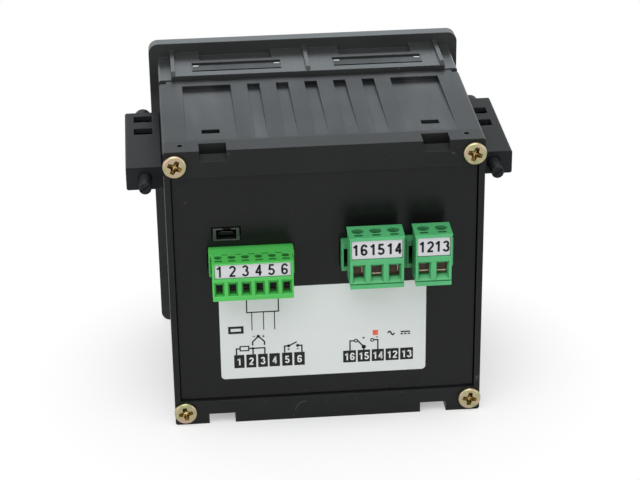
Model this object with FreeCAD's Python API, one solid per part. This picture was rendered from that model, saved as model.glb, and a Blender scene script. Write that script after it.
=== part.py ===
import FreeCAD, Part
import os
from collections import namedtuple
from math import cos, hypot, pi, sin

Vector = FreeCAD.Vector

# Panel-mounted temperature controller, millimetres.
# The display faces -Y, the terminals face +Y, +Z is up.
# The origin is the centre of the panel cut-out, in the plane of the bezel's back face.

# Bezel and body envelope
bezel_side = 96.0
bezel_thick = 4.6
bezel_corner = 3.0
bezel_bevel = 0.5
body_width = 90.5
body_height = 87.5
body_depth = 75.0
case_wall = 2.4
body_bevel = 0.5

# Skirt behind the bezel, with its pads, ribs and snap windows
skirt_depth = 19.9
skirt_wall = 1.8
skirt_gap = 1.2
pad_rise = 1.15
pad_inset = 3.8
rib_width = 1.25
rib_rise = 0.8
rib_setback = 1.0
window_length = 27.0
window_inset = 8.0
window_front = 9.2
window_depth = 7.4
window_end_gap = 0.3
window_front_gap = 0.9
window_rear_gap = 0.9
coring_length = 22.2
coring_depth = 7.1
latch_drop = 0.05
latch_nose_length = 1.6
latch_nose_drop = 0.35
latch_notch_length = 1.75
latch_notch_depth = 1.0
lip_fit = 0.15
lip_wall = 1.6
notch_width = 2.1
notch_length = 1.8
notch_depth = 1.4

# Front field, display window and keys
field_margin = 5.0
field_depth = 0.8
field_bevel = 2.0
front_wall = 2.2
lens_side_gap = 6.25
lens_height = 44.0
lens_thick = 1.2
lens_ledge = 1.2
lens_bevel = 1.2
lens_z = 12.0
key_count = 4
key_width = 13.0
key_height = 8.0
key_bevel = 1.0
key_edge = 0.3
key_setback = 0.2
key_z = -29.5
key_gap = 0.25
key_flange = 1.0
key_stem = 3.2

# Display board and what it carries
board_thick = 1.6
board_fit = 0.2
display_board_y = 8.0
board_ledge = 2.0
switch_side = 6.0
switch_height = 3.5
plunger_side = 3.4
plunger_reach = 1.4
plunger_depth = 1.2
running_gap = 0.1
upper_digits_width = 60.0
upper_digits_height = 23.0
lower_digits_width = 46.0
lower_digits_height = 13.0
digits_depth = 9.5
digits_gap = 2.0
status_light_count = 3
status_light_width = 4.0
status_light_height = 2.0
status_light_pitch = 8.0
status_light_depth = 9.0

# Stepped pockets and slots in the top and bottom of the case
pocket_front_gap = 4.3
pocket_rear_gap = 1.0
pocket_depth = 1.2
wide_pocket_inner = 24.0
wide_pocket_outer = 38.4
narrow_pocket_count = 5
narrow_pocket_width = 3.7
narrow_pocket_pitch = 8.6
slot_length = 5.1
slot_width = 3.0
slot_depth = 1.6
slot_rear_gap = 5.8
pry_x = 31.35

# Rear frame, plate and label
frame_depth = 7.0
frame_side_rim = 1.7
frame_top_band = 8.0
frame_bottom_band = 7.5
frame_ledge = 1.8
pry_width = 7.7
pry_length = 5.4
pry_lip_height = 2.1
pry_edge_height = 3.3
pry_well_length = 2.6
pry_well_height = 5.2
plate_thick = 2.0
plate_recess = 1.0
plate_gap = 0.35
cutout_gap = 0.3
label_width = 60.25
label_height = 29.5
label_x = 1.1
label_top = -0.1
label_thick = 0.15
label_corner = 1.2

# Rear screws and the corner posts that take them
screw_inset_x = 3.1
screw_inset_z = 4.2
screw_radius = 1.45
screw_sides = 12
screw_hole_gap = 0.08
screw_head_radius = 3.35
screw_head_height = 1.3
screw_length = 16.0
cross_width = 1.1
cross_span = 4.1
cross_depth = 1.0
screw_turns = (-25.0, -19.0, 10.0, -8.0)
post_side = 6.8
post_length = 18.0

# Main board and its parts
main_board_z = 13.9
main_board_side_gap = 1.85
main_board_front_gap = 2.4
main_board_rear_gap = 0.3
guide_height = 5.2
guide_reach = 1.8
guide_front_gap = 2.7
guide_rear_gap = 1.0
guide_fit = 0.1
link_pin_count = 10
link_pin_pitch = 2.54
link_pin = 0.64
link_strip_depth = 2.5
transformer_width = 32.0
transformer_depth = 27.0
transformer_height = 21.0
transformer_x = -20.0
transformer_coil = 0.62
coil_bevel = 2.5
relay_width = 15.5
relay_depth = 19.0
relay_height = 15.5
relay_bevel = 0.5
relay_x = 8.0
capacitor_count = 2
capacitor_radius = 4.0
capacitor_height = 16.0
capacitor_pitch = 12.0
capacitor_inset = 15.0
chip_side = 10.0
chip_height = 1.4
parts_rear_gap = 10.0

# Data socket
usb_offset = 6.75
usb_width = 7.7
usb_top_width = 6.7
usb_height = 3.9
usb_wall = 0.45
usb_depth = 8.6
usb_reach = 0.3
usb_tongue_width = 4.6
usb_tongue_height = 1.0
usb_tongue_setback = 0.9
usb_root_depth = 2.2

# Small plug-in terminal family, used for the six signal ways
small_pitch = 3.81
small_header_height = 6.85
small_header_depth = 9.2
small_header_reach = 5.0
small_header_crown = -0.4
small_header_wall = 0.9
small_end_wall = 0.5
small_end_gap = 0.15
small_plug_drop = 0.3
small_plug_height = 11.7
small_plug_depth = 6.0
small_roof_lip = 0.0
small_ledge_reach = 0.0
small_bore = 1.15
small_bore_setback = 4.2
small_screw_drop = 1.4
small_hole_width = 1.8
small_hole_height = 2.9
small_hole_rise = 1.75
small_funnel_width = 3.0
small_funnel_height = 4.6
small_funnel_rise = 1.4
small_funnel_depth = 1.2
small_cage_depth = 2.6
small_strip_rise = 6.95
small_strip_height = 4.35
small_strip_margin = 0.65
small_pin = 0.8
signal_ways = 6
signal_inset = 23.6

# Large plug-in terminal family, used for the relay output and the supply
large_pitch = 5.08
large_header_height = 8.6
large_header_depth = 12.0
large_header_reach = 3.6
large_header_crown = 0.5
large_header_wall = 1.2
large_end_wall = 0.65
large_end_gap = 0.98
large_plug_drop = -5.9
large_plug_height = 15.7
large_plug_depth = 8.1
large_roof_lip = 0.25
large_ledge_reach = 0.35
large_bore = 1.75
large_bore_setback = 4.8
large_screw_drop = 2.2
large_hole_width = 2.8
large_hole_height = 3.5
large_hole_rise = 2.75
large_funnel_width = 3.7
large_funnel_height = 5.7
large_funnel_rise = 1.7
large_funnel_depth = 1.5
large_cage_depth = 3.4
large_strip_rise = 9.0
large_strip_height = 5.8
large_strip_margin = 0.35
large_pin = 1.0
output_ways = 3
output_inset = 31.9
supply_ways = 2
header_spacing = 0.1

# Shared by both terminal families
plug_seat_gap = 0.3
nose_gap = 0.2
nose_tip_gap = 0.4
header_back_wall = 1.6
pin_setback = 1.5
pin_tail = 1.0
header_foot_width = 1.5
header_foot_depth = 3.0
pin_fit = 0.05
socket_gap = 0.25
socket_depth = 0.3
chamber_wall = 0.75
chamber_floor = 0.9
chamber_head = 1.6
cage_fit = 0.1
strip_recess = 0.6
strip_thick = 0.25
mark_slot_share = 0.54
mark_slot_width = 0.45
mark_slot_depth = 1.2
mark_slot_setback = 1.9
plug_bevel = 0.2
roof_thick = 0.5
ledge_height = 1.2

# Side clamps, their screws, feet and tracks
clamp_drop = 15.15
clamp_width = 10.65
clamp_height = 7.0
clamp_length = 41.4
clamp_front = 16.2
clamp_gap = 0.15
clamp_bevel = 0.4
clamp_screw_x = 5.4
clamp_screw_radius = 1.8
clamp_screw_tail = 7.4
clamp_screw_slot = 0.7
clamp_screw_slot_depth = 1.2
clamp_screw_turn = 30.0
clamp_bore_gap = 0.2
thread_window_width = 5.6
thread_window_length = 4.75
thread_window_pitch = 9.5
thread_window_front = 2.85
thread_window_count = 2
foot_radius = 2.6
foot_length = 6.0
foot_gap = 0.2
foot_socket_depth = 3.0
tongue_length = 10.0
tongue_rear_gap = 4.0
tongue_neck = 2.8
tongue_head = 5.2
tongue_head_thick = 1.5
track_flange = 1.6
track_gap = 0.2
track_wall = 1.4
clamp_travel_front = 4.4
clamp_travel_rear = 11.5
track_end_gap = 0.3

# Planes and half sizes that follow from the sizes above
half_width = body_width / 2
half_height = body_height / 2
pad_top = half_height + pad_rise
lens_width = body_width - 2 * lens_side_gap
key_pitch = lens_width / key_count
front_y = -bezel_thick
field_y = front_y + field_depth
front_wall_y = field_y + front_wall
skirt_in_x = half_width - skirt_wall
skirt_in_z = half_height - skirt_wall
case_y = skirt_depth + skirt_gap
frame_y = body_depth - frame_depth
plate_face = body_depth - plate_recess
plate_y = plate_face - plate_thick
display_board_back = display_board_y + board_thick
lip_front = display_board_back + board_fit / 2
lip_out_x = skirt_in_x - lip_fit
lip_out_z = skirt_in_z - lip_fit
lip_in_x = lip_out_x - lip_wall
lip_in_z = lip_out_z - lip_wall
case_in_x = half_width - case_wall
case_in_z = half_height - case_wall
screw_x = half_width - screw_inset_x
screw_z = half_height - screw_inset_z
plate_half_x = half_width - frame_side_rim
plate_top = half_height - frame_top_band
plate_bottom = -half_height + frame_bottom_band
main_board_half = case_in_x - main_board_side_gap
main_board_top = main_board_z + board_thick
main_board_front = display_board_back + main_board_front_gap
main_board_rear = plate_y - main_board_rear_gap
parts_rear = plate_y - parts_rear_gap
key_front = front_y + key_setback
key_back = front_wall_y + running_gap + key_flange
switch_front = display_board_y - switch_height
plunger_front = switch_front - plunger_reach
signal_x = half_width - signal_inset
output_x = output_inset - half_width
usb_x = signal_x + usb_offset
clamp_z = half_height - clamp_drop
clamp_inner = half_width + clamp_gap
clamp_outer = clamp_inner + clamp_width
clamp_axis_x = clamp_inner + clamp_screw_x - clamp_gap
clamp_rear = clamp_front + clamp_length
tongue_rear = clamp_rear - tongue_rear_gap
tongue_front = tongue_rear - tongue_length
screw_shoulder_y = clamp_front - foot_gap
track_front = tongue_front - clamp_travel_front - track_end_gap
track_rear = tongue_rear + clamp_travel_rear + track_end_gap
track_entry = tongue_rear + clamp_travel_rear - tongue_length - track_end_gap
track_in = half_width - track_flange
track_floor = track_in - tongue_head_thick - 2 * track_gap

Family = namedtuple("Family", "pitch header_height header_depth header_reach header_crown "
                    "header_wall end_wall end_gap plug_drop plug_height plug_depth roof_lip "
                    "ledge_reach bore bore_setback screw_drop hole_width hole_height hole_rise "
                    "funnel_width funnel_height funnel_rise funnel_depth cage_depth "
                    "strip_rise strip_height strip_margin pin")

small_family = Family(small_pitch, small_header_height, small_header_depth, small_header_reach,
                      small_header_crown, small_header_wall, small_end_wall, small_end_gap,
                      small_plug_drop, small_plug_height, small_plug_depth, small_roof_lip,
                      small_ledge_reach, small_bore, small_bore_setback, small_screw_drop,
                      small_hole_width, small_hole_height, small_hole_rise,
                      small_funnel_width, small_funnel_height, small_funnel_rise,
                      small_funnel_depth, small_cage_depth, small_strip_rise,
                      small_strip_height, small_strip_margin, small_pin)

large_family = Family(large_pitch, large_header_height, large_header_depth, large_header_reach,
                      large_header_crown, large_header_wall, large_end_wall, large_end_gap,
                      large_plug_drop, large_plug_height, large_plug_depth, large_roof_lip,
                      large_ledge_reach, large_bore, large_bore_setback, large_screw_drop,
                      large_hole_width, large_hole_height, large_hole_rise,
                      large_funnel_width, large_funnel_height, large_funnel_rise,
                      large_funnel_depth, large_cage_depth, large_strip_rise,
                      large_strip_height, large_strip_margin, large_pin)


# Basic shapes
def block(x0, x1, y0, y1, z0, z1):
    return Part.makeBox(x1 - x0, y1 - y0, z1 - z0, Vector(x0, y0, z0))


def rod(radius, x, z, y0, y1):
    return Part.makeCylinder(radius, y1 - y0, Vector(x, y0, z), Vector(0, 1, 0))


def pillar(radius, x, y, z0, z1):
    return Part.makeCylinder(radius, z1 - z0, Vector(x, y, z0), Vector(0, 0, 1))


def edges_along_y(shape):
    found = []
    for edge in shape.Edges:
        span = edge.Vertexes[-1].Point - edge.Vertexes[0].Point
        if hypot(span.x, span.z) < 1e-6 < abs(span.y):
            found.append(edge)
    return found


def edges_in_plane(shape, y):
    return [edge for edge in shape.Edges if all(abs(v.Y - y) < 1e-6 for v in edge.Vertexes)]


def slab(x, z, width, height, y0, y1, corner):
    body = block(x - width / 2, x + width / 2, y0, y1, z - height / 2, z + height / 2)
    return body.makeFillet(corner, edges_along_y(body))


def bevelled(x, z, width, height, y0, y1, bevel):
    body = block(x - width / 2, x + width / 2, y0, y1, z - height / 2, z + height / 2)
    return body.makeChamfer(bevel, edges_along_y(body))


def prism_x(points, x0, x1):
    ring = [Vector(x0, y, z) for y, z in points]
    return Part.Face(Part.makePolygon(ring + ring[:1])).extrude(Vector(x1 - x0, 0, 0))


def prism_y(points, y0, y1):
    ring = [Vector(x, y0, z) for x, z in points]
    return Part.Face(Part.makePolygon(ring + ring[:1])).extrude(Vector(0, y1 - y0, 0))


def prism_z(points, z0, z1):
    ring = [Vector(x, y, z0) for x, y in points]
    return Part.Face(Part.makePolygon(ring + ring[:1])).extrude(Vector(0, 0, z1 - z0))


# Outline of a hidden screw, with few sides
def screw_outline(x, y, radius):
    turns = [2 * pi * i / screw_sides for i in range(screw_sides)]
    return [(x + radius * cos(turn), y + radius * sin(turn)) for turn in turns]


def rectangle(x, z, width, height, y):
    corners = [(-1, -1), (1, -1), (1, 1), (-1, 1)]
    return [Vector(x + i * width / 2, y, z + j * height / 2) for i, j in corners]


def hopper(mouth, throat):
    rings = [mouth, throat]
    for i in range(len(mouth)):
        rings.append([mouth[i - 1], mouth[i], throat[i], throat[i - 1]])
    faces = [Part.Face(Part.makePolygon(ring + ring[:1])) for ring in rings]
    return Part.makeSolid(Part.makeShell(faces))


def both_sides(shape):
    return [shape, shape.mirror(Vector(0, 0, 0), Vector(1, 0, 0))]


def four_ways(shape):
    pair = both_sides(shape)
    return pair + [one.mirror(Vector(0, 0, 0), Vector(0, 0, 1)) for one in pair]


# Front bezel: face plate, skirt, pads, ribs and snap windows in one moulding
def front_bezel():
    plate = slab(0, 0, bezel_side, bezel_side, front_y, 0, bezel_corner)
    plate = plate.makeChamfer(bezel_bevel, edges_in_plane(plate, front_y))
    skirt = bevelled(0, 0, body_width, body_height, field_y, skirt_depth, body_bevel)
    pad_x = half_width - pad_inset
    added = [skirt]
    cut = []
    pad = block(-pad_x, pad_x, 0, skirt_depth, skirt_in_z, pad_top)
    rib_x = pad_x - rib_width / 2
    rib_end = skirt_depth - rib_setback
    rib_profile = [(0, half_height), (rib_end, half_height), (rib_end, pad_top),
                   (rib_end - rib_setback, pad_top + rib_rise), (0, pad_top + rib_rise)]
    ribs = [prism_x(rib_profile, x - rib_width / 2, x + rib_width / 2) for x in (-rib_x, 0, rib_x)]
    for shape in [pad] + ribs:
        added += [shape, shape.mirror(Vector(0, 0, 0), Vector(0, 0, 1))]
    window = block(window_inset, window_inset + window_length, window_front,
                   window_front + window_depth, lip_in_z, pad_top + rib_rise)
    middle = window_inset + window_length / 2
    coring = block(middle - coring_length / 2, middle + coring_length / 2, 0, coring_depth,
                   half_height, pad_top + rib_rise)
    cut += four_ways(window) + four_ways(coring)
    cut.append(block(-skirt_in_x, skirt_in_x, display_board_y, skirt_depth, -skirt_in_z, skirt_in_z))
    ledge_x = skirt_in_x - board_ledge
    ledge_z = skirt_in_z - board_ledge
    cut.append(block(-ledge_x, ledge_x, front_wall_y, display_board_y, -ledge_z, ledge_z))
    field = bezel_side - 2 * field_margin
    cut.append(bevelled(0, 0, field, field, front_y, field_y, field_bevel))
    cut.append(bevelled(0, lens_z, lens_width + 2 * running_gap, lens_height + 2 * running_gap,
                        field_y, field_y + lens_thick, lens_bevel))
    cut.append(bevelled(0, lens_z, lens_width - 2 * lens_ledge, lens_height - 2 * lens_ledge,
                        field_y, front_wall_y, lens_bevel))
    for x in key_places():
        cut.append(bevelled(x, key_z, key_width + 2 * key_gap, key_height + 2 * key_gap,
                            field_y, front_wall_y, key_bevel))
    return plate.fuse(added).removeSplitter().cut(cut).removeSplitter()


def key_places():
    return [key_pitch * (i - (key_count - 1) / 2) for i in range(key_count)]


def display_window():
    return bevelled(0, lens_z, lens_width, lens_height, field_y, field_y + lens_thick, lens_bevel)


# A key: cap through the front wall, flange behind it and a stem to the switch plunger
def key(x):
    cap = bevelled(x, key_z, key_width, key_height, key_front, front_wall_y + running_gap, key_bevel)
    cap = cap.makeChamfer(key_edge, edges_in_plane(cap, key_front))
    flange = column(x, key_width + 2 * key_flange, key_height + 2 * key_flange,
                    front_wall_y + running_gap, key_back)
    stem = column(x, key_stem, key_stem, key_back, plunger_front)
    return cap.fuse([flange, stem]).removeSplitter()


def column(x, width, height, y0, y1):
    return block(x - width / 2, x + width / 2, y0, y1, key_z - height / 2, key_z + height / 2)


def plunger(x):
    return column(x, plunger_side, plunger_side, plunger_front, switch_front + plunger_depth)


def key_switches():
    well = plunger_side + 2 * running_gap
    bodies = []
    for x in key_places():
        body = column(x, switch_side, switch_side, switch_front, display_board_y)
        bodies.append(body.cut(column(x, well, well, switch_front, display_board_y - running_gap)))
    return Part.makeCompound(bodies)


# Display board with its digit modules and status lights
def display_board():
    half_x = skirt_in_x - board_fit
    half_z = skirt_in_z - board_fit
    return block(-half_x, half_x, display_board_y, display_board_back, -half_z, half_z)


def digits(width, height, z):
    front = display_board_y - digits_depth
    return block(-width / 2, width / 2, front, display_board_y, z - height / 2, z + height / 2)


def upper_digits_z():
    return lens_z + (lower_digits_height + digits_gap) / 2


def lower_digits_z():
    return lens_z - (upper_digits_height + digits_gap) / 2


def status_lights():
    x0 = (upper_digits_width + lens_width) / 4 - status_light_width / 2
    front = display_board_y - status_light_depth
    lights = []
    for i in range(status_light_count):
        z0 = lens_z + status_light_pitch * (i - (status_light_count - 1) / 2) - status_light_height / 2
        lights.append(block(x0, x0 + status_light_width, front, display_board_y,
                            z0, z0 + status_light_height))
    return Part.makeCompound(lights)


# Case sleeve: tube with a front lip, latch bars, corner posts, board guides and clamp tracks
def case_sleeve():
    tube = bevelled(0, 0, body_width, body_height, case_y, frame_y, body_bevel)
    hollow = block(-case_in_x, case_in_x, case_y + case_wall, frame_y, -case_in_z, case_in_z)
    tube = tube.cut(hollow)
    lip = block(-lip_out_x, lip_out_x, lip_front, case_y, -lip_out_z, lip_out_z)
    added = [lip] + four_ways(latch_bar()) + four_ways(corner_post())
    added += both_sides(board_guide()) + both_sides(track_wall_block())
    cut = [block(-lip_in_x, lip_in_x, lip_front, case_y + case_wall, -lip_in_z, lip_in_z)]
    cut += four_ways(screw_channel()) + four_ways(corner_notch())
    cut += both_sides(board_groove()) + both_sides(clamp_track())
    for pocket in pockets():
        cut += [pocket, pocket.mirror(Vector(0, 0, 0), Vector(0, 0, 1))]
    return tube.fuse(added).removeSplitter().cut(cut).removeSplitter()


# Latch bar in a snap window, notched at both ends of its nose
def latch_bar():
    front = window_front + window_front_gap
    rear = window_front + window_depth - window_rear_gap
    top = pad_top - latch_drop
    inner = window_inset + window_end_gap
    outer = window_inset + window_length - window_end_gap
    profile = [(front, lip_in_z), (rear, lip_in_z), (rear, top),
               (front + latch_nose_length, top), (front, top - latch_nose_drop)]
    notches = [block(end, end + latch_notch_length, front, front + latch_notch_depth, half_height, pad_top)
               for end in (inner, outer - latch_notch_length)]
    return prism_x(profile, inner, outer).cut(notches)


def corner_post():
    return block(half_width - post_side, case_in_x, frame_y - post_length, frame_y,
                 half_height - post_side, case_in_z)


# Square way for a rear screw, open on the inner side down the corner post
def screw_hole(y0, y1):
    reach = screw_radius + screw_hole_gap
    return block(screw_x - reach, screw_x + reach, y0, y1, screw_z - reach, screw_z + reach)


def screw_channel():
    reach = screw_radius + screw_hole_gap
    return block(half_width - post_side, screw_x + reach, body_depth - screw_length - screw_hole_gap,
                 frame_y, screw_z - reach, screw_z + reach)


def corner_notch():
    return block(half_width - notch_width, half_width, case_y, case_y + notch_length,
                 half_height - notch_depth, half_height)


def board_guide():
    inner = main_board_half - guide_reach
    middle = main_board_z + board_thick / 2
    return block(inner, case_in_x, case_y + guide_front_gap, frame_y - guide_rear_gap,
                 middle - guide_height / 2, middle + guide_height / 2)


def board_groove():
    outer = main_board_half + guide_fit
    return block(outer - 2 * guide_reach, outer, case_y + guide_front_gap, frame_y,
                 main_board_z - guide_fit, main_board_top + guide_fit)


def track_wall_block():
    reach = tongue_head / 2 + track_gap + track_wall
    return block(track_floor - track_wall, case_in_x, track_front - track_wall,
                 min(track_rear + track_wall, frame_y), clamp_z - reach, clamp_z + reach)


def clamp_track():
    neck = tongue_neck / 2 + track_gap
    head = tongue_head / 2 + track_gap
    slot = block(track_in, half_width, track_front, track_rear, clamp_z - neck, clamp_z + neck)
    way = block(track_floor, track_in, track_front, track_rear, clamp_z - head, clamp_z + head)
    entry = block(track_in, half_width, track_entry, track_rear, clamp_z - head, clamp_z + head)
    return slot.fuse([way, entry])


def pockets():
    front = case_y + pocket_front_gap
    rear = frame_y - pocket_rear_gap
    wedge = [(front, half_height - pocket_depth), (rear, half_height), (front, half_height)]
    shapes = both_sides(prism_x(wedge, wide_pocket_inner, wide_pocket_outer))
    for i in range(narrow_pocket_count):
        x = narrow_pocket_pitch * (i - (narrow_pocket_count - 1) / 2)
        shapes.append(prism_x(wedge, x - narrow_pocket_width / 2, x + narrow_pocket_width / 2))
    slot_rear = frame_y - slot_rear_gap
    shapes += both_sides(block(pry_x - slot_length / 2, pry_x + slot_length / 2,
                               slot_rear - slot_width, slot_rear,
                               half_height - slot_depth, half_height))
    return shapes


# Rear frame: a rim with a ledge for the plate, pry notches and screw holes
def rear_frame():
    frame = bevelled(0, 0, body_width, body_height, frame_y, body_depth, body_bevel)
    ledge_x = plate_half_x - frame_ledge
    cut = [block(-plate_half_x, plate_half_x, plate_y, body_depth, plate_bottom, plate_top),
           block(-ledge_x, ledge_x, frame_y, plate_y, plate_bottom + frame_ledge,
                 plate_top - frame_ledge)]
    cut += four_ways(screw_hole(frame_y, body_depth)) + four_ways(pry_notch())
    return frame.cut(cut).removeSplitter()


def pry_notch():
    front = body_depth - pry_length
    well = front + pry_well_length
    profile = [(front, half_height), (front, half_height - pry_well_height),
               (well, half_height - pry_well_height), (well, half_height - pry_lip_height),
               (body_depth, half_height - pry_edge_height), (body_depth, half_height)]
    return prism_x(profile, pry_x - pry_width / 2, pry_x + pry_width / 2)


def rear_plate():
    plate = block(-plate_half_x + plate_gap, plate_half_x - plate_gap, plate_y, plate_face,
                  plate_bottom + plate_gap, plate_top - plate_gap)
    cut = [block(x0 - cutout_gap, x1 + cutout_gap, plate_y, plate_face, z0 - cutout_gap, z1 + cutout_gap)
           for x0, x1, z0, z1 in connector_outlines()]
    return plate.cut(cut)


def connector_outlines():
    small_half = header_half(small_family, signal_ways)
    large_left = supply_x() - header_half(large_family, supply_ways)
    large_right = output_x + header_half(large_family, output_ways)
    return [(signal_x - small_half, signal_x + small_half, header_floor(small_family),
             header_top(small_family)),
            (large_left, large_right, header_floor(large_family), header_top(large_family)),
            (usb_x - usb_width / 2, usb_x + usb_width / 2, main_board_top,
             main_board_top + usb_height)]


def wiring_label():
    return slab(label_x, label_top - label_height / 2, label_width, label_height,
                plate_face, plate_face + label_thick, label_corner)


# Rear screws: low round heads with a cross recess, each left at its own angle
def rear_screws():
    screws = []
    places = [(screw_x, screw_z), (-screw_x, screw_z), (screw_x, -screw_z), (-screw_x, -screw_z)]
    for (x, z), turn in zip(places, screw_turns):
        screw = rear_screw()
        screw.rotate(Vector(0, 0, 0), Vector(0, 1, 0), turn)
        screw.translate(Vector(x, body_depth, z))
        screws.append(screw)
    return Part.makeCompound(screws)


def rear_screw():
    top = screw_head_height
    shank = prism_y(screw_outline(0, 0, screw_radius), -screw_length, 0)
    body = rod(screw_head_radius, 0, 0, 0, top).fuse(shank)
    long_half = cross_span / 2
    short_half = cross_width / 2
    arms = [block(-long_half, long_half, top - cross_depth, top, -short_half, short_half),
            block(-short_half, short_half, top - cross_depth, top, -long_half, long_half)]
    return body.cut(arms)


# Main board and its larger parts
def main_board():
    return block(-main_board_half, main_board_half, main_board_front, main_board_rear,
                 main_board_z, main_board_top)


def board_link():
    strip_front = main_board_front
    half = link_pin_count * link_pin_pitch / 2
    strip = block(-half, half, strip_front, strip_front + link_strip_depth,
                  main_board_top, main_board_top + link_strip_depth)
    pins = []
    z = main_board_top + link_strip_depth / 2
    for i in range(link_pin_count):
        x = link_pin_pitch * (i - (link_pin_count - 1) / 2)
        pins.append(block(x - link_pin / 2, x + link_pin / 2, display_board_back, strip_front,
                          z - link_pin / 2, z + link_pin / 2))
    return strip.fuse(pins)


def power_transformer():
    rear = parts_rear
    front = rear - transformer_depth
    x0 = transformer_x - transformer_width / 2
    x1 = transformer_x + transformer_width / 2
    middle = (front + rear) / 2
    core_half = transformer_depth * (1 - transformer_coil) / 2
    core = block(x0, x1, middle - core_half, middle + core_half, main_board_top,
                 main_board_top + transformer_height)
    coil_half = transformer_width * transformer_coil / 2
    coil = bevelled(transformer_x, main_board_top + transformer_height / 2, 2 * coil_half,
                    transformer_height * transformer_coil, front, rear, coil_bevel)
    foot = block(transformer_x - coil_half, transformer_x + coil_half, front, rear, main_board_top,
                 main_board_top + board_thick)
    return core.fuse([coil, foot]).removeSplitter()


def output_relay():
    x0 = relay_x - relay_width / 2
    case = block(x0, x0 + relay_width, parts_rear - relay_depth, parts_rear, main_board_top,
                 main_board_top + relay_height)
    return case.makeChamfer(relay_bevel, case.Edges)


def smoothing_capacitors():
    cans = []
    y = parts_rear - capacitor_radius
    for i in range(capacitor_count):
        cans.append(pillar(capacitor_radius, main_board_half - capacitor_inset, y - i * capacitor_pitch,
                           main_board_top, main_board_top + capacitor_height))
    return Part.makeCompound(cans)


def controller_chip():
    y = parts_rear - relay_depth - chip_side
    return block(relay_x - chip_side / 2, relay_x + chip_side / 2, y - chip_side / 2, y + chip_side / 2,
                 main_board_top, main_board_top + chip_height)


# Data socket: folded shell, narrower at the top, with a contact tongue inside
def usb_outline(inset):
    low = usb_width / 2 - inset
    high = usb_top_width / 2 - inset
    z0 = main_board_top + inset
    z1 = main_board_top + usb_height - inset
    knee = (z0 + z1) / 2
    hip = (z0 + knee) / 2
    return [(usb_x - low, z0), (usb_x + low, z0), (usb_x + low, hip), (usb_x + high, knee),
            (usb_x + high, z1), (usb_x - high, z1), (usb_x - high, knee), (usb_x - low, hip)]


def usb_shell():
    mouth = plate_face + usb_reach
    back = mouth - usb_depth
    shell = prism_y(usb_outline(0), back, mouth)
    return shell.cut(prism_y(usb_outline(usb_wall), back + usb_wall, mouth))


def usb_tongue():
    mouth = plate_face + usb_reach
    back = mouth - usb_depth + usb_wall
    middle = main_board_top + usb_height / 2
    root = block(usb_x - usb_tongue_width / 2, usb_x + usb_tongue_width / 2, back, back + usb_root_depth,
                 main_board_top + usb_wall, main_board_top + usb_height - usb_wall)
    tongue = block(usb_x - usb_tongue_width / 2, usb_x + usb_tongue_width / 2,
                   back, mouth - usb_tongue_setback,
                   middle - usb_tongue_height / 2, middle + usb_tongue_height / 2)
    return root.fuse(tongue)


# Plug-in terminals: the header on the board, the plug, its screws, cages and number strip
def header_half(family, ways):
    return ways * family.pitch / 2 + family.end_gap + family.end_wall


def supply_x():
    return (output_x - header_half(large_family, output_ways) - header_spacing
            - header_half(large_family, supply_ways))


def way_places(family, ways, x):
    return [x - family.pitch * (i - (ways - 1) / 2) for i in range(ways)]


def header_front(family):
    return plate_face + family.header_reach


def header_back(family):
    return header_front(family) - family.header_depth


def header_top(family):
    return main_board_z + family.header_crown


def header_floor(family):
    return header_top(family) - family.header_height


def cavity_floor(family):
    return header_floor(family) + family.header_wall


def cavity_roof(family):
    return min(main_board_z, header_top(family)) - family.header_wall


def pin_z(family):
    return (cavity_floor(family) + cavity_roof(family)) / 2


def header(family, ways, x):
    half = header_half(family, ways)
    front = header_front(family)
    back = header_back(family)
    top = header_top(family)
    body = block(x - half, x + half, back, front, header_floor(family), top)
    if top > main_board_z:
        body = body.cut(block(x - half, x + half, back, plate_y, main_board_z, top))
    if top < main_board_z:
        feet = [block(end, end + header_foot_width, back, back + header_foot_depth, top, main_board_z)
                for end in (x - half, x + half - header_foot_width)]
        body = body.fuse(feet).removeSplitter()
    inner = half - family.end_wall
    cut = [block(x - inner, x + inner, back + header_back_wall, front, cavity_floor(family),
                 cavity_roof(family))]
    reach = family.pin / 2 + pin_fit
    for place in way_places(family, ways, x):
        cut.append(block(place - reach, place + reach, back, back + header_back_wall,
                         pin_z(family) - reach, pin_z(family) + reach))
    return body.cut(cut)


def header_pins(family, ways, x):
    half = family.pin / 2
    z = pin_z(family)
    back = header_back(family)
    pins = []
    for place in way_places(family, ways, x):
        bend = back - pin_tail
        run = block(place - half, place + half, bend, header_front(family) - pin_setback,
                    z - half, z + half)
        tail = block(place - half, place + half, bend, bend + family.pin, z, main_board_z)
        pins.append(run.fuse(tail).removeSplitter())
    return Part.makeCompound(pins)


def plug_back(family):
    return header_front(family) + plug_seat_gap


def plug_face(family):
    return plug_back(family) + family.plug_depth


def plug_top(family):
    return main_board_z - family.plug_drop


def plug_floor(family):
    return plug_top(family) - family.plug_height


def bore_y(family):
    return plug_face(family) - family.bore_setback


def hole_floor(family):
    return plug_floor(family) + family.hole_rise


def hole_roof(family):
    return hole_floor(family) + family.hole_height


def chamber_base(family):
    return hole_floor(family) - chamber_floor


def chamber_top(family):
    return hole_roof(family) + chamber_head


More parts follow.
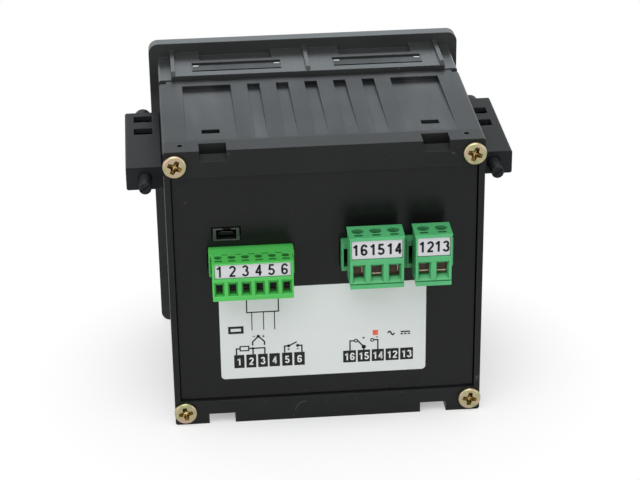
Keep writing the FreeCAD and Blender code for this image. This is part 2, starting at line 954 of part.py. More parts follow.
def plug_body(family, ways, x):
    half = ways * family.pitch / 2
    back = plug_back(family)
    face = plug_face(family)
    floor = plug_floor(family)
    top = plug_top(family)
    body = bevelled(x, (floor + top) / 2, 2 * half, family.plug_height, back, face, plug_bevel)
    added = [block(x - half + nose_gap, x + half - nose_gap,
                   header_back(family) + header_back_wall + nose_tip_gap, back,
                   cavity_floor(family) + nose_gap, cavity_roof(family) - nose_gap)]
    if family.roof_lip > 0:
        added.append(block(x - half - family.roof_lip, x + half + family.roof_lip, back, face,
                           top - roof_thick, top))
    if family.ledge_reach > 0:
        added.append(block(x - half, x + half, face - plug_bevel, face + family.ledge_reach,
                           floor, floor + ledge_height))
    strip_base = floor + family.strip_rise
    margin = family.strip_margin
    cut = [block(x - half + margin, x + half - margin, face - strip_recess, face,
                 strip_base, strip_base + family.strip_height)]
    for place in way_places(family, ways, x):
        cut += way_cuts(family, place)
    return body.fuse(added).cut(cut).removeSplitter()


# What one way removes from its plug: wire funnel, throat, cage chamber, screw bore, pin socket
def way_cuts(family, x):
    face = plug_face(family)
    throat_y = face - family.funnel_depth
    y = bore_y(family)
    mouth_z = plug_floor(family) + family.funnel_rise + family.funnel_height / 2
    throat_z = (hole_floor(family) + hole_roof(family)) / 2
    funnel = hopper(rectangle(x, mouth_z, family.funnel_width, family.funnel_height, face),
                    rectangle(x, throat_z, family.hole_width, family.hole_height, throat_y))
    throat = block(x - family.hole_width / 2, x + family.hole_width / 2, y, throat_y,
                   hole_floor(family), hole_roof(family))
    side = family.pitch / 2 - chamber_wall
    chamber = block(x - side, x + side, y - family.cage_depth / 2 - cage_fit,
                    y + family.cage_depth / 2 + cage_fit, chamber_base(family), chamber_top(family))
    bore = pillar(family.bore, x, y, chamber_top(family), plug_top(family))
    mark_y = face - mark_slot_setback
    mark_half = family.pitch * mark_slot_share / 2
    mark = block(x - mark_half, x + mark_half, mark_y - mark_slot_width, mark_y,
                 plug_top(family) - mark_slot_depth, plug_top(family))
    reach = family.pin / 2 + socket_gap
    socket = block(x - reach, x + reach, header_back(family), plug_back(family) + socket_depth,
                   pin_z(family) - reach, pin_z(family) + reach)
    return [funnel, throat, chamber, bore, mark, socket]


# Terminal screws stand on their cages, sunk below the top of the plug
def terminal_screws(family, ways, x):
    y = bore_y(family)
    base = chamber_top(family) - 2 * cage_fit
    top = plug_top(family) - family.screw_drop
    radius = family.bore - cage_fit
    return Part.makeCompound([prism_z(screw_outline(place, y, radius), base, top)
                              for place in way_places(family, ways, x)])


def wire_cages(family, ways, x):
    side = family.pitch / 2 - chamber_wall - cage_fit
    y = bore_y(family)
    cages = []
    for place in way_places(family, ways, x):
        frame = block(place - side, place + side, y - family.cage_depth / 2, y + family.cage_depth / 2,
                      chamber_base(family), chamber_top(family) - 2 * cage_fit)
        opening = block(place - family.hole_width / 2 + cage_fit, place + family.hole_width / 2 - cage_fit,
                        y - family.cage_depth / 2, y + family.cage_depth / 2,
                        hole_floor(family) + 2 * cage_fit, hole_roof(family))
        cages.append(frame.cut(opening))
    return Part.makeCompound(cages)


def number_strip(family, ways, x):
    half = ways * family.pitch / 2 - family.strip_margin - cage_fit
    seat = plug_face(family) - strip_recess
    base = plug_floor(family) + family.strip_rise + cage_fit
    return block(x - half, x + half, seat, seat + strip_thick,
                 base, base + family.strip_height - 2 * cage_fit)


# Side clamp: block whose screw way is cored in turn from above and below, with a T tongue
def clamp():
    middle_x = (clamp_inner + clamp_outer) / 2
    body = bevelled(middle_x, clamp_z, clamp_width, clamp_height, clamp_front, clamp_rear, clamp_bevel)
    neck = block(track_in - track_gap, clamp_inner + clamp_bevel, tongue_front, tongue_rear,
                 clamp_z - tongue_neck / 2, clamp_z + tongue_neck / 2)
    head = block(track_in - track_gap - tongue_head_thick, track_in - track_gap, tongue_front, tongue_rear,
                 clamp_z - tongue_head / 2, clamp_z + tongue_head / 2)
    reach = clamp_screw_radius + clamp_bore_gap
    half = thread_window_width / 2
    roof = clamp_height / 2
    above = clamp_front + thread_window_front
    cut = [core(reach, clamp_front, above, -reach, reach)]
    for i in range(thread_window_count):
        below = above + thread_window_length
        cut.append(core(half, above, below, -reach, roof))
        above += thread_window_pitch
        cut.append(core(half, below, above, -roof, reach))
    cut.append(rod(reach, clamp_axis_x, clamp_z, above, clamp_rear))
    return body.fuse([neck, head]).cut(cut).removeSplitter()


def core(half, y0, y1, low, high):
    return block(clamp_axis_x - half, clamp_axis_x + half, y0, y1, clamp_z + low, clamp_z + high)


# Foot: a round cap pressed on the front end of the screw
def clamp_foot():
    rear = screw_shoulder_y
    cap = rod(foot_radius, clamp_axis_x, clamp_z, rear - foot_length, rear)
    socket = rod(clamp_screw_radius + running_gap, clamp_axis_x, clamp_z, rear - foot_socket_depth, rear)
    return cap.cut(socket)


def clamp_screw():
    front = screw_shoulder_y - foot_socket_depth + running_gap
    rear = clamp_rear + clamp_screw_tail
    shaft = rod(clamp_screw_radius, clamp_axis_x, clamp_z, front, rear)
    slot = block(clamp_axis_x - clamp_screw_radius, clamp_axis_x + clamp_screw_radius,
                 rear - clamp_screw_slot_depth, rear,
                 clamp_z - clamp_screw_slot / 2, clamp_z + clamp_screw_slot / 2)
    slot.rotate(Vector(clamp_axis_x, 0, clamp_z), Vector(0, 1, 0), clamp_screw_turn)
    return shaft.cut(slot)


# The right-hand clamp is the same moulding turned over about the depth axis
def turned_over(shape):
    copy = shape.copy()
    copy.rotate(Vector(0, 0, clamp_z), Vector(0, 1, 0), 180)
    return copy


def build():
    nodes = {
        "front_bezel": front_bezel(),
        "display_window": display_window(),
        "display_board": display_board(),
        "upper_digits": digits(upper_digits_width, upper_digits_height, upper_digits_z()),
        "lower_digits": digits(lower_digits_width, lower_digits_height, lower_digits_z()),
        "status_lights": status_lights(),
        "key_switches": key_switches(),
        "case_sleeve": case_sleeve(),
        "rear_frame": rear_frame(),
        "rear_plate": rear_plate(),
        "wiring_label": wiring_label(),
        "rear_screws": rear_screws(),
        "main_board": main_board(),
        "board_link": board_link(),
        "power_transformer": power_transformer(),
        "output_relay": output_relay(),
        "smoothing_capacitors": smoothing_capacitors(),
        "controller_chip": controller_chip(),
        "usb_shell": usb_shell(),
        "usb_tongue": usb_tongue(),
    }
    for name, x in zip(("menu", "down", "up", "set"), key_places()):
        nodes[name + "_key"] = key(x)
        nodes[name + "_plunger"] = plunger(x)
    rows = [("signal", small_family, signal_ways, signal_x),
            ("output", large_family, output_ways, output_x),
            ("supply", large_family, supply_ways, supply_x())]
    for name, family, ways, x in rows:
        nodes[name + "_header"] = header(family, ways, x)
        nodes[name + "_pins"] = header_pins(family, ways, x)
        nodes[name + "_plug"] = plug_body(family, ways, x)
        nodes[name + "_screws"] = terminal_screws(family, ways, x)
        nodes[name + "_cages"] = wire_cages(family, ways, x)
        nodes[name + "_numbers"] = number_strip(family, ways, x)
    for name, shape in (("clamp", clamp()), ("clamp_foot", clamp_foot()), ("clamp_screw", clamp_screw())):
        nodes["left_" + name] = shape
        nodes["right_" + name] = turned_over(shape)
    return nodes


os.makedirs("parts", exist_ok=True)
for node, shape in build().items():
    shape.exportStep("parts/" + node + ".step")
    state = "valid" if shape.isValid() else "not valid"
    print(node, len(shape.Solids), "solids", round(shape.Volume, 1), "mm3", state)
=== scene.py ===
import bpy
import bmesh
from math import cos, pi, radians, sin
from mathutils import Euler, Matrix, Vector


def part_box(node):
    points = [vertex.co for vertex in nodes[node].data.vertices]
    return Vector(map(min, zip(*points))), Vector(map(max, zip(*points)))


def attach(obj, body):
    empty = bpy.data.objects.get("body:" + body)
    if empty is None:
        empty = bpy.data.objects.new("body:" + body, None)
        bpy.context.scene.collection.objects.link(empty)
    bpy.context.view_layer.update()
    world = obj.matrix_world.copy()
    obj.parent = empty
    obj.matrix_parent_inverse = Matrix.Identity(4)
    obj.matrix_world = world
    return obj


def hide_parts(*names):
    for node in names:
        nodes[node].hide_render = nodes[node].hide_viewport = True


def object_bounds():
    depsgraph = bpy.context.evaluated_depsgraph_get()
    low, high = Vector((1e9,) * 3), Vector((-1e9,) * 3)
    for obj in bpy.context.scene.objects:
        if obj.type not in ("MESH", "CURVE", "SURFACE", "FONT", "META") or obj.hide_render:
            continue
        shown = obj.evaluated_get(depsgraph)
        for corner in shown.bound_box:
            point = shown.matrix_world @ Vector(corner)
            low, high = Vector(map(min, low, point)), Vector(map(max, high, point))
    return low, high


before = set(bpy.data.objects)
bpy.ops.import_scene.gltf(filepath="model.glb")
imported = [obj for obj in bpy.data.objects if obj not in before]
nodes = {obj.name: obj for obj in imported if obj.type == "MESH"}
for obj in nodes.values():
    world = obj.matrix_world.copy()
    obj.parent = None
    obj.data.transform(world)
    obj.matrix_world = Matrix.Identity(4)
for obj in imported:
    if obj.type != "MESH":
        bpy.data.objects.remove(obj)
cadBox = [list(corner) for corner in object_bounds()]
scene = bpy.context.scene
mm = 0.001
print("frame loaded:", len(nodes), "nodes")


# mesh helpers, all lengths in millimetres in the frame of the part

def smoothBelow(mesh, degrees):
    for face in mesh.polygons:
        face.use_smooth = True
    mesh.set_sharp_from_angle(angle=radians(degrees))


def newPiece(name, bm, materials, body, smooth=0.0):
    bmesh.ops.recalc_face_normals(bm, faces=bm.faces)
    mesh = bpy.data.meshes.new(name)
    bm.to_mesh(mesh)
    bm.free()
    for material in materials:
        mesh.materials.append(paint[material])
    if smooth:
        smoothBelow(mesh, smooth)
    piece = bpy.data.objects.new(name, mesh)
    scene.collection.objects.link(piece)
    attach(piece, body)
    return piece


def onRear(x, y, z):  # drawing plane seen from the terminal side: right is -X, up is +Z
    return Matrix(((-mm, 0, 0, x * mm), (0, 0, mm, y * mm), (0, mm, 0, z * mm), (0, 0, 0, 1)))


def onFront(x, y, z):  # drawing plane seen from the display side
    return Matrix(((mm, 0, 0, x * mm), (0, 0, -mm, y * mm), (0, mm, 0, z * mm), (0, 0, 0, 1)))


def onTop(x, y, z):  # drawing plane seen from above, with the terminals nearest
    return Matrix(((-mm, 0, 0, x * mm), (0, -mm, 0, y * mm), (0, 0, mm, z * mm), (0, 0, 0, 1)))


def onEnd(x, y, z):  # drawing plane seen from the left end: right is +Y, up is +Z
    return Matrix(((0, 0, mm, x * mm), (mm, 0, 0, y * mm), (0, mm, 0, z * mm), (0, 0, 0, 1)))


def boxOf(node):
    low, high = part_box(node)
    return low / mm, high / mm


def addPrism(bm, outline, depth, place):  # closed prism on a flat outline
    low = [bm.verts.new(place @ Vector((u, v, 0))) for u, v in outline]
    high = [bm.verts.new(place @ Vector((u, v, depth))) for u, v in outline]
    bm.faces.new(low)
    bm.faces.new(high)
    for i in range(len(outline)):
        j = (i + 1) % len(outline)
        bm.faces.new((low[i], low[j], high[j], high[i]))


def addLathe(bm, profile, place, count=48):  # radius and height pairs turned about the outward axis
    rings = []
    for radius, height in profile:
        steps = count if radius > 0 else 1
        rings.append([bm.verts.new(place @ Vector((radius * cos(2 * pi * i / count),
                                                   radius * sin(2 * pi * i / count), height)))
                      for i in range(steps)])
    for a, b in zip(rings, rings[1:]):
        for i in range(count):
            j = (i + 1) % count
            corners = (a[i % len(a)], a[j % len(a)], b[j % len(b)], b[i % len(b)])
            bm.faces.new(tuple(dict.fromkeys(corners)))
    return rings[-1]


def addSunkTop(bm, ring, mouth, floor, depth, tip, height, place, tipPaint=1):  # top with a driver recess
    upper = [bm.verts.new(place @ Vector((u, v, height))) for u, v in mouth]
    lower = [bm.verts.new(place @ Vector((u, v, height - depth))) for u, v in floor]
    centre = bm.verts.new(place @ Vector((0, 0, height - depth - tip)))
    rim = []
    for loop in (ring, upper):
        for i, vert in enumerate(loop):
            ends = (vert, loop[(i + 1) % len(loop)])
            rim.append(bm.edges.get(ends) or bm.edges.new(ends))
    bmesh.ops.triangle_fill(bm, edges=rim, use_beauty=True)
    for i in range(len(upper)):
        j = (i + 1) % len(upper)
        bm.faces.new((upper[i], upper[j], lower[j], lower[i])).material_index = 1
        bm.faces.new((lower[i], lower[j], centre)).material_index = tipPaint


def addThread(bm, place, start, end, core, crest, pitch, count=24):
    total = int((end - start) / pitch * count)
    root = []
    top = []
    for i in range(total):
        a = 2 * pi * i / count
        height = start + pitch * i / count
        root.append(bm.verts.new(place @ Vector((core * cos(a), core * sin(a), height))))
        top.append(bm.verts.new(place @ Vector((crest * cos(a), crest * sin(a), height + pitch / 2))))
    for i in range(total - 1):
        bm.faces.new((root[i], root[i + 1], top[i + 1], top[i]))
        if i + count + 1 < total:
            bm.faces.new((top[i], top[i + 1], root[i + count + 1], root[i + count]))


def arc(u, v, radiusU, radiusV, start, end, steps=12):
    turns = [radians(start + (end - start) * i / steps) for i in range(steps + 1)]
    return [(u + radiusU * cos(a), v + radiusV * sin(a)) for a in turns]


def boxOutline(u0, u1, v0, v1, corner=0.0, steps=5):
    if corner <= 0:
        return [(u0, v0), (u1, v0), (u1, v1), (u0, v1)]
    points = []
    for cu, cv, start in ((u1 - corner, v1 - corner, 0), (u0 + corner, v1 - corner, 90),
                          (u0 + corner, v0 + corner, 180), (u1 - corner, v0 + corner, 270)):
        points += arc(cu, cv, corner, corner, start, start + 90, steps)
    return points


def discOutline(u, v, radius, count=24):
    turns = [2 * pi * i / count for i in range(count)]
    return [(u + radius * cos(a), v + radius * sin(a)) for a in turns]


def strokeOutline(u0, v0, u1, v1, width):
    along = Vector((u1 - u0, v1 - v0)).normalized()
    side = Vector((-along.y, along.x)) * width / 2
    tip = along * width / 2
    a = Vector((u0, v0)) - tip
    b = Vector((u1, v1)) + tip
    return [tuple(a - side), tuple(b - side), tuple(b + side), tuple(a + side)]


def turnedOutline(outline, turn):
    a = radians(turn)
    return [(u * cos(a) - v * sin(a), u * sin(a) + v * cos(a)) for u, v in outline]


def crossOutline(span, width, waist, turn):  # the waist is where two arms meet
    s, w, k = span / 2, width / 2, waist / 2
    points = []
    for quarter in range(4):
        points += turnedOutline([(s, -w), (s, w), (k, k)], turn + 90 * quarter)
    return points


def slotOutline(half, width, turn):
    return turnedOutline(boxOutline(-half, half, -width / 2, width / 2), turn)


def rowOf(middle, pitch, count):  # places from left to right as seen from the terminal side
    return [middle - pitch * (i - (count - 1) / 2) for i in range(count)]


def addRibbon(bm, points, width, depth, place, mitre=0.5):  # flat band along a line of points
    spots = [Vector(point) for point in points]
    rows = []
    for i, spot in enumerate(spots):
        after = (spots[i + 1] - spot if i + 1 < len(spots) else spot - spots[i - 1]).normalized()
        before = (spot - spots[i - 1] if i else spots[1] - spot).normalized()
        along = (before + after).normalized()
        side = Vector((-along.y, along.x)) * width / 2 / max(mitre, along.dot(after))
        rows.append([bm.verts.new(place @ Vector((*(spot + side * way), height)))
                     for way, height in ((1, 0), (-1, 0), (-1, depth), (1, depth))])
    for a, b in zip(rows, rows[1:]):
        for i in range(4):
            j = (i + 1) % 4
            bm.faces.new((a[i], a[j], b[j], b[i]))
    bm.faces.new(rows[0])
    bm.faces.new(rows[-1])


# plain digits as centre lines one unit high; the shares are of a digit's height
digitLook = dict(wide=0.56, squeeze=0.9, spread=0.68)
printDepth = 0.03  # how far print stands proud of what carries it
digitLines = {
    "1": [[(0.33, 0.0), (0.33, 1.0)], [(0.35, 0.95), (0.23, 0.83), (0.06, 0.74)]],
    "2": [arc(0.29, 0.70, 0.23, 0.23, 165, -35) + [(0.08, 0.09)], [(0.0, 0.07), (0.54, 0.07)]],
    "3": [arc(0.27, 0.735, 0.2, 0.19, 165, -85), arc(0.27, 0.29, 0.24, 0.225, 85, -165)],
    "4": [[(0.41, 0.0), (0.41, 1.0)], [(0.40, 0.93), (0.06, 0.30)], [(0.0, 0.29), (0.58, 0.29)]],
    "5": [[(0.51, 0.92), (0.14, 0.92), (0.09, 0.47)], arc(0.27, 0.31, 0.24, 0.245, 140, -160)],
    "6": [arc(0.31, 0.60, 0.24, 0.33, 25, 180) + [(0.07, 0.35)], arc(0.29, 0.29, 0.22, 0.22, 180, -180, 20)],
}


def addNumber(bm, word, height, stroke, place):  # digits centred on the place
    look = digitLook
    for i, digit in enumerate(word):
        middle = height * look["spread"] * (i - (len(word) - 1) / 2)
        for line in digitLines[digit]:
            points = [(middle + (u - look["wide"] / 2) * look["squeeze"] * height, (v - 0.5) * height)
                      for u, v in line]
            addRibbon(bm, points, stroke, printDepth, place)


# materials: each is one node graph on the part's own coordinates
# reaches and reliefs are in millimetres, stops are where a ramp starts and ends
plasticDetail = dict(cloud=45.0, cloudStops=(0.3, 0.7), relief=0.1, edgeStops=(0.9, 0.995), outerReach=0.8,
                     outerStops=(0.72, 0.9), streak=120.0, streakStretch=(1.0, 0.16, 0.5),
                     streakStops=(0.45, 0.72), speck=420.0, speckStops=(0.76, 0.80), cavityReach=3.0,
                     cavityStops=(0.25, 0.8))
metalDetail = dict(firstStop=0.32, stopSpan=0.36, relief=0.05)
black, white = (0, 0, 0), (1, 1, 1)


def startMaterial(name):
    material = bpy.data.materials.new(name)
    material.use_nodes = True
    tree = material.node_tree
    return material, tree, tree.nodes["Principled BSDF"]


def addNode(tree, kind, **values):
    node = tree.nodes.new(kind)
    for name, value in values.items():
        setattr(node, name, value)
    return node


def noiseOn(tree, coords, scale, detail=3.0):
    noise = addNode(tree, "ShaderNodeTexNoise")
    noise.inputs["Scale"].default_value = scale
    noise.inputs["Detail"].default_value = detail
    tree.links.new(coords, noise.inputs["Vector"])
    return noise.outputs["Fac"]


def tinted(colour, share=1.0, lift=0.0):
    return tuple(min(1.0, c * share + lift) for c in colour)


def ramp(tree, source, places, colours):
    node = addNode(tree, "ShaderNodeValToRGB")
    elements = node.color_ramp.elements
    while len(elements) < len(colours):
        elements.new(0.5)
    for element, place, colour in zip(elements, places, colours):
        element.position = place
        element.color = (*colour, 1)
    tree.links.new(source, node.inputs["Fac"])
    return node.outputs["Color"]


def mapTo(tree, source, low, high):
    node = addNode(tree, "ShaderNodeMapRange")
    node.inputs["To Min"].default_value = low
    node.inputs["To Max"].default_value = high
    tree.links.new(source, node.inputs["Value"])
    return node.outputs["Result"]


def mixed(tree, amount, base, top):
    node = addNode(tree, "ShaderNodeMix", data_type="RGBA")
    tree.links.new(amount, node.inputs["Factor"])
    tree.links.new(base, node.inputs[6])
    node.inputs[7].default_value = (*top, 1)
    return node.outputs[2]


def multiplied(tree, base, top):
    node = addNode(tree, "ShaderNodeMix", data_type="RGBA", blend_type="MULTIPLY")
    node.inputs["Factor"].default_value = 1.0
    tree.links.new(base, node.inputs[6])
    tree.links.new(top, node.inputs[7])
    return node.outputs[2]


def openness(tree, reach):  # one in the open, less beside other faces
    near = addNode(tree, "ShaderNodeAmbientOcclusion", samples=6)
    near.inputs["Distance"].default_value = reach * mm
    return near.outputs["AO"]


def roundedNormal(tree, coords, radius, grain, bump, depth):  # softened edges plus a fine relief
    edge = addNode(tree, "ShaderNodeBevel", samples=4)
    edge.inputs["Radius"].default_value = radius * mm
    relief = addNode(tree, "ShaderNodeBump")
    relief.inputs["Strength"].default_value = bump
    relief.inputs["Distance"].default_value = depth * mm
    tree.links.new(noiseOn(tree, coords, grain, detail=2.0), relief.inputs["Height"])
    tree.links.new(edge.outputs["Normal"], relief.inputs["Normal"])
    return edge.outputs["Normal"], relief.outputs["Normal"]


def edgeMask(tree, softNormal):  # white on outer edges, where the softened normal leaves the flat one
    look = plasticDetail
    flat = addNode(tree, "ShaderNodeNewGeometry").outputs["Normal"]
    dot = addNode(tree, "ShaderNodeVectorMath", operation="DOT_PRODUCT")
    tree.links.new(softNormal, dot.inputs[0])
    tree.links.new(flat, dot.inputs[1])
    edges = ramp(tree, dot.outputs["Value"], look["edgeStops"], (white, black))
    outer = ramp(tree, openness(tree, look["outerReach"]), look["outerStops"], (black, white))
    return multiplied(tree, edges, outer)


def moulded(name, colour, rough, spread=0.06, specular=0.5, grain=900.0, bump=0.05, soften=0.25, vary=0.12,
            coat=0.0, wearAndHighlight=1.0, dust=0.0, cavityShade=0.0, smear=0.0):
    look = plasticDetail
    material, tree, shader = startMaterial(name)
    coords = addNode(tree, "ShaderNodeTexCoord").outputs["Object"]
    cloud = noiseOn(tree, coords, look["cloud"], detail=4.0)
    base = ramp(tree, cloud, look["cloudStops"], (tinted(colour, 1 - vary), tinted(colour, 1 + vary)))
    softNormal, normal = roundedNormal(tree, coords, soften, grain, bump, look["relief"])
    # painted highlight: the outer edges are painted paler, partly as rubbed wear and partly as the light an
    # edge catches
    if wearAndHighlight > 1:  # paler along the outer edges
        base = mixed(tree, edgeMask(tree, softNormal), base, tinted(colour, wearAndHighlight))
    if smear > 0:  # long pale streaks from front to rear
        along = addNode(tree, "ShaderNodeMapping")
        along.inputs["Scale"].default_value = look["streakStretch"]
        tree.links.new(coords, along.inputs["Vector"])
        noise = noiseOn(tree, along.outputs["Vector"], look["streak"], detail=2.0)
        streaks = ramp(tree, noise, look["streakStops"], (black, white))
        base = mixed(tree, streaks, base, tinted(colour, lift=smear))
    if dust > 0:  # fine pale specks
        noise = noiseOn(tree, coords, look["speck"], detail=1.0)
        specks = ramp(tree, noise, look["speckStops"], (black, white))
        base = mixed(tree, specks, base, tinted(colour, lift=dust))
    # painted shade: the colour is darkened where other faces are near
    if cavityShade > 0:  # darker in holes, slots and corners
        shades = (tinted(white, 1 - cavityShade), white)
        shade = ramp(tree, openness(tree, look["cavityReach"]), look["cavityStops"], shades)
        base = multiplied(tree, base, shade)
    tree.links.new(base, shader.inputs["Base Color"])
    tree.links.new(mapTo(tree, cloud, rough - spread, rough + spread), shader.inputs["Roughness"])
    shader.inputs["Specular IOR Level"].default_value = specular
    shader.inputs["Coat Weight"].default_value = coat
    tree.links.new(normal, shader.inputs["Normal"])
    return material


def metal(name, tints, rough, spread=0.08, cloudScale=260.0, brush=600.0, bump=0.03, soften=0.12, full=1.0):
    look = metalDetail
    material, tree, shader = startMaterial(name)
    coords = addNode(tree, "ShaderNodeTexCoord").outputs["Object"]
    cloud = noiseOn(tree, coords, cloudScale)
    gaps = max(1, len(tints) - 1)
    stops = [look["firstStop"] + look["stopSpan"] * i / gaps for i in range(len(tints))]
    tree.links.new(ramp(tree, cloud, stops, tints), shader.inputs["Base Color"])
    tree.links.new(mapTo(tree, cloud, rough - spread, rough + spread), shader.inputs["Roughness"])
    shader.inputs["Metallic"].default_value = full
    normal = roundedNormal(tree, coords, soften, brush, bump, look["relief"])[1]
    tree.links.new(normal, shader.inputs["Normal"])
    return material


plastics = {
    "bezelBlack": dict(colour=(0.035, 0.0365, 0.037), rough=0.28, specular=0.2, wearAndHighlight=2.2, dust=0.03),
    "caseBlack": dict(colour=(0.0125, 0.0138, 0.0148), rough=0.34, spread=0.1, specular=0.115, vary=0.3,
                      wearAndHighlight=3.0, dust=0.03, smear=0.022),
    "frameBlack": dict(colour=(0.0165, 0.0172, 0.0172), rough=0.38, specular=0.1, wearAndHighlight=2.6, dust=0.03),
    "plateBlack": dict(colour=(0.0075, 0.008, 0.008), rough=0.27, specular=0.2, wearAndHighlight=2.0, dust=0.02),
    "clampBlack": dict(colour=(0.0235, 0.0245, 0.026), rough=0.45, specular=0.04, wearAndHighlight=3.0, dust=0.03),
    "keyGrey": dict(colour=(0.10, 0.105, 0.11), rough=0.5, specular=0.4),
    "signalGreen": dict(colour=(0.074, 0.49, 0.091), rough=0.34, spread=0.05, grain=700.0, bump=0.03,
                        specular=0.35, wearAndHighlight=1.6, cavityShade=0.55),
    "powerGreen": dict(colour=(0.076, 0.40, 0.152), rough=0.36, spread=0.05, grain=700.0, bump=0.03,
                       specular=0.35, wearAndHighlight=1.6, cavityShade=0.7),
    "seamGreen": dict(colour=(0.012, 0.09, 0.03), rough=0.5, specular=0.2),
    "markGreen": dict(colour=(0.016, 0.17, 0.026), rough=0.5, specular=0.2),
    "labelPale": dict(colour=(0.66, 0.69, 0.68), rough=0.5, vary=0.02, bump=0.02, soften=0.05),
    "stripWhite": dict(colour=(0.60, 0.605, 0.63), rough=0.5, vary=0.02, bump=0.02, soften=0.05),
    "printBlack": dict(colour=(0.012, 0.012, 0.013), rough=0.5, vary=0.1, bump=0.02, soften=0.02,
                       specular=0.2),
    "printWhite": dict(colour=(0.74, 0.76, 0.75), rough=0.5, vary=0.02, bump=0.02, soften=0.02),
    "printRed": dict(colour=(0.72, 0.07, 0.035), rough=0.45, vary=0.05, bump=0.02, soften=0.02),
    "glintOrange": dict(colour=(0.80, 0.22, 0.12), rough=0.45, vary=0.05, bump=0.02, soften=0.02),
    "boardGreen": dict(colour=(0.012, 0.12, 0.05), rough=0.35, coat=0.3),
    "digitDark": dict(colour=(0.02, 0.02, 0.023), rough=0.3),
    "segmentPale": dict(colour=(0.5, 0.36, 0.33), rough=0.4),
    "lightRed": dict(colour=(0.5, 0.03, 0.02), rough=0.2),
    "partBlack": dict(colour=(0.014, 0.014, 0.015), rough=0.5, specular=0.2),
    "tongueBlack": dict(colour=(0.006, 0.006, 0.0065), rough=0.6, specular=0.1),
    "glintPale": dict(colour=(0.75, 0.76, 0.76), rough=0.3, vary=0.04, soften=0.02),
    "markAndHighlightGrey": dict(colour=(0.045, 0.046, 0.046), rough=0.5, specular=0.2, soften=0.02),
    # painted shade: a dull near-black laid where gaps, pits and openings fall into shade
    "shadeBlack": dict(colour=(0.004, 0.004, 0.004), rough=0.8, specular=0.0),
    "plungerTan": dict(colour=(0.45, 0.33, 0.18), rough=0.45),
    "relayBlue": dict(colour=(0.03, 0.10, 0.38), rough=0.3),
    "coreGrey": dict(colour=(0.20, 0.20, 0.21), rough=0.45),
}
metals = {
    "zincYellow": dict(tints=[(0.33, 0.36, 0.17), (0.46, 0.41, 0.24), (0.53, 0.36, 0.29)], rough=0.3,
                       cloudScale=560.0),
    "zincRecessShade": dict(tints=[(0.04, 0.02, 0.005), (0.19, 0.11, 0.03)], rough=0.22, cloudScale=1100.0),
    "zincRecessHighlight": dict(tints=[(0.28, 0.18, 0.05), (0.80, 0.66, 0.32)], rough=0.2, cloudScale=1100.0),
    "terminalSteel": dict(tints=[(0.17, 0.16, 0.13), (0.30, 0.28, 0.24)], rough=0.4),
    "slotShadeSteel": dict(tints=[(0.16, 0.16, 0.15), (0.24, 0.24, 0.23)], rough=0.45),
    "cageBrass": dict(tints=[(0.34, 0.19, 0.08), (0.66, 0.44, 0.20)], rough=0.38),
    "cageSteel": dict(tints=[(0.10, 0.07, 0.065), (0.20, 0.16, 0.15)], rough=0.45),
    "shadedLeafCopper": dict(tints=[(0.022, 0.012, 0.008), (0.095, 0.05, 0.031)], rough=0.4, full=0.5),
    "shadedLeafDark": dict(tints=[(0.003, 0.0025, 0.0025), (0.009, 0.007, 0.007)], rough=0.5, full=0.5),
    "jawBrassHighlight": dict(tints=[(0.78, 0.66, 0.46), (0.92, 0.84, 0.66)], rough=0.35, full=0.3),
    "jawGreyHighlight": dict(tints=[(0.05, 0.043, 0.046), (0.09, 0.08, 0.085)], rough=0.45, full=0.5),
    "pinTin": dict(tints=[(0.56, 0.55, 0.50), (0.72, 0.71, 0.66)], rough=0.28),
    "socketSteel": dict(tints=[(0.068, 0.069, 0.071), (0.116, 0.118, 0.121)], rough=0.42),
    "contactTin": dict(tints=[(0.30, 0.30, 0.27), (0.46, 0.45, 0.41)], rough=0.3),
    "canSilver": dict(tints=[(0.60, 0.60, 0.62), (0.75, 0.75, 0.77)], rough=0.3),
}
paint = {name: moulded(name, **values) for name, values in plastics.items()}
paint.update({name: metal(name, **values) for name, values in metals.items()})

# smoked acrylic over the digits
smokedAcrylic = dict(clear=0.94, bend=1.49, haze=70.0, stops=(0.3, 0.7), roughLow=0.03, roughHigh=0.07,
                     tints=((0.46, 0.17, 0.15), (0.52, 0.20, 0.17)))
look = smokedAcrylic
material, tree, shader = startMaterial("smokedWindow")
shader.inputs["Transmission Weight"].default_value = look["clear"]
shader.inputs["IOR"].default_value = look["bend"]
coords = addNode(tree, "ShaderNodeTexCoord").outputs["Object"]
haze = noiseOn(tree, coords, look["haze"])
tree.links.new(ramp(tree, haze, look["stops"], look["tints"]), shader.inputs["Base Color"])
tree.links.new(mapTo(tree, haze, look["roughLow"], look["roughHigh"]), shader.inputs["Roughness"])
paint["smokedWindow"] = material
print("materials made:", len(paint))

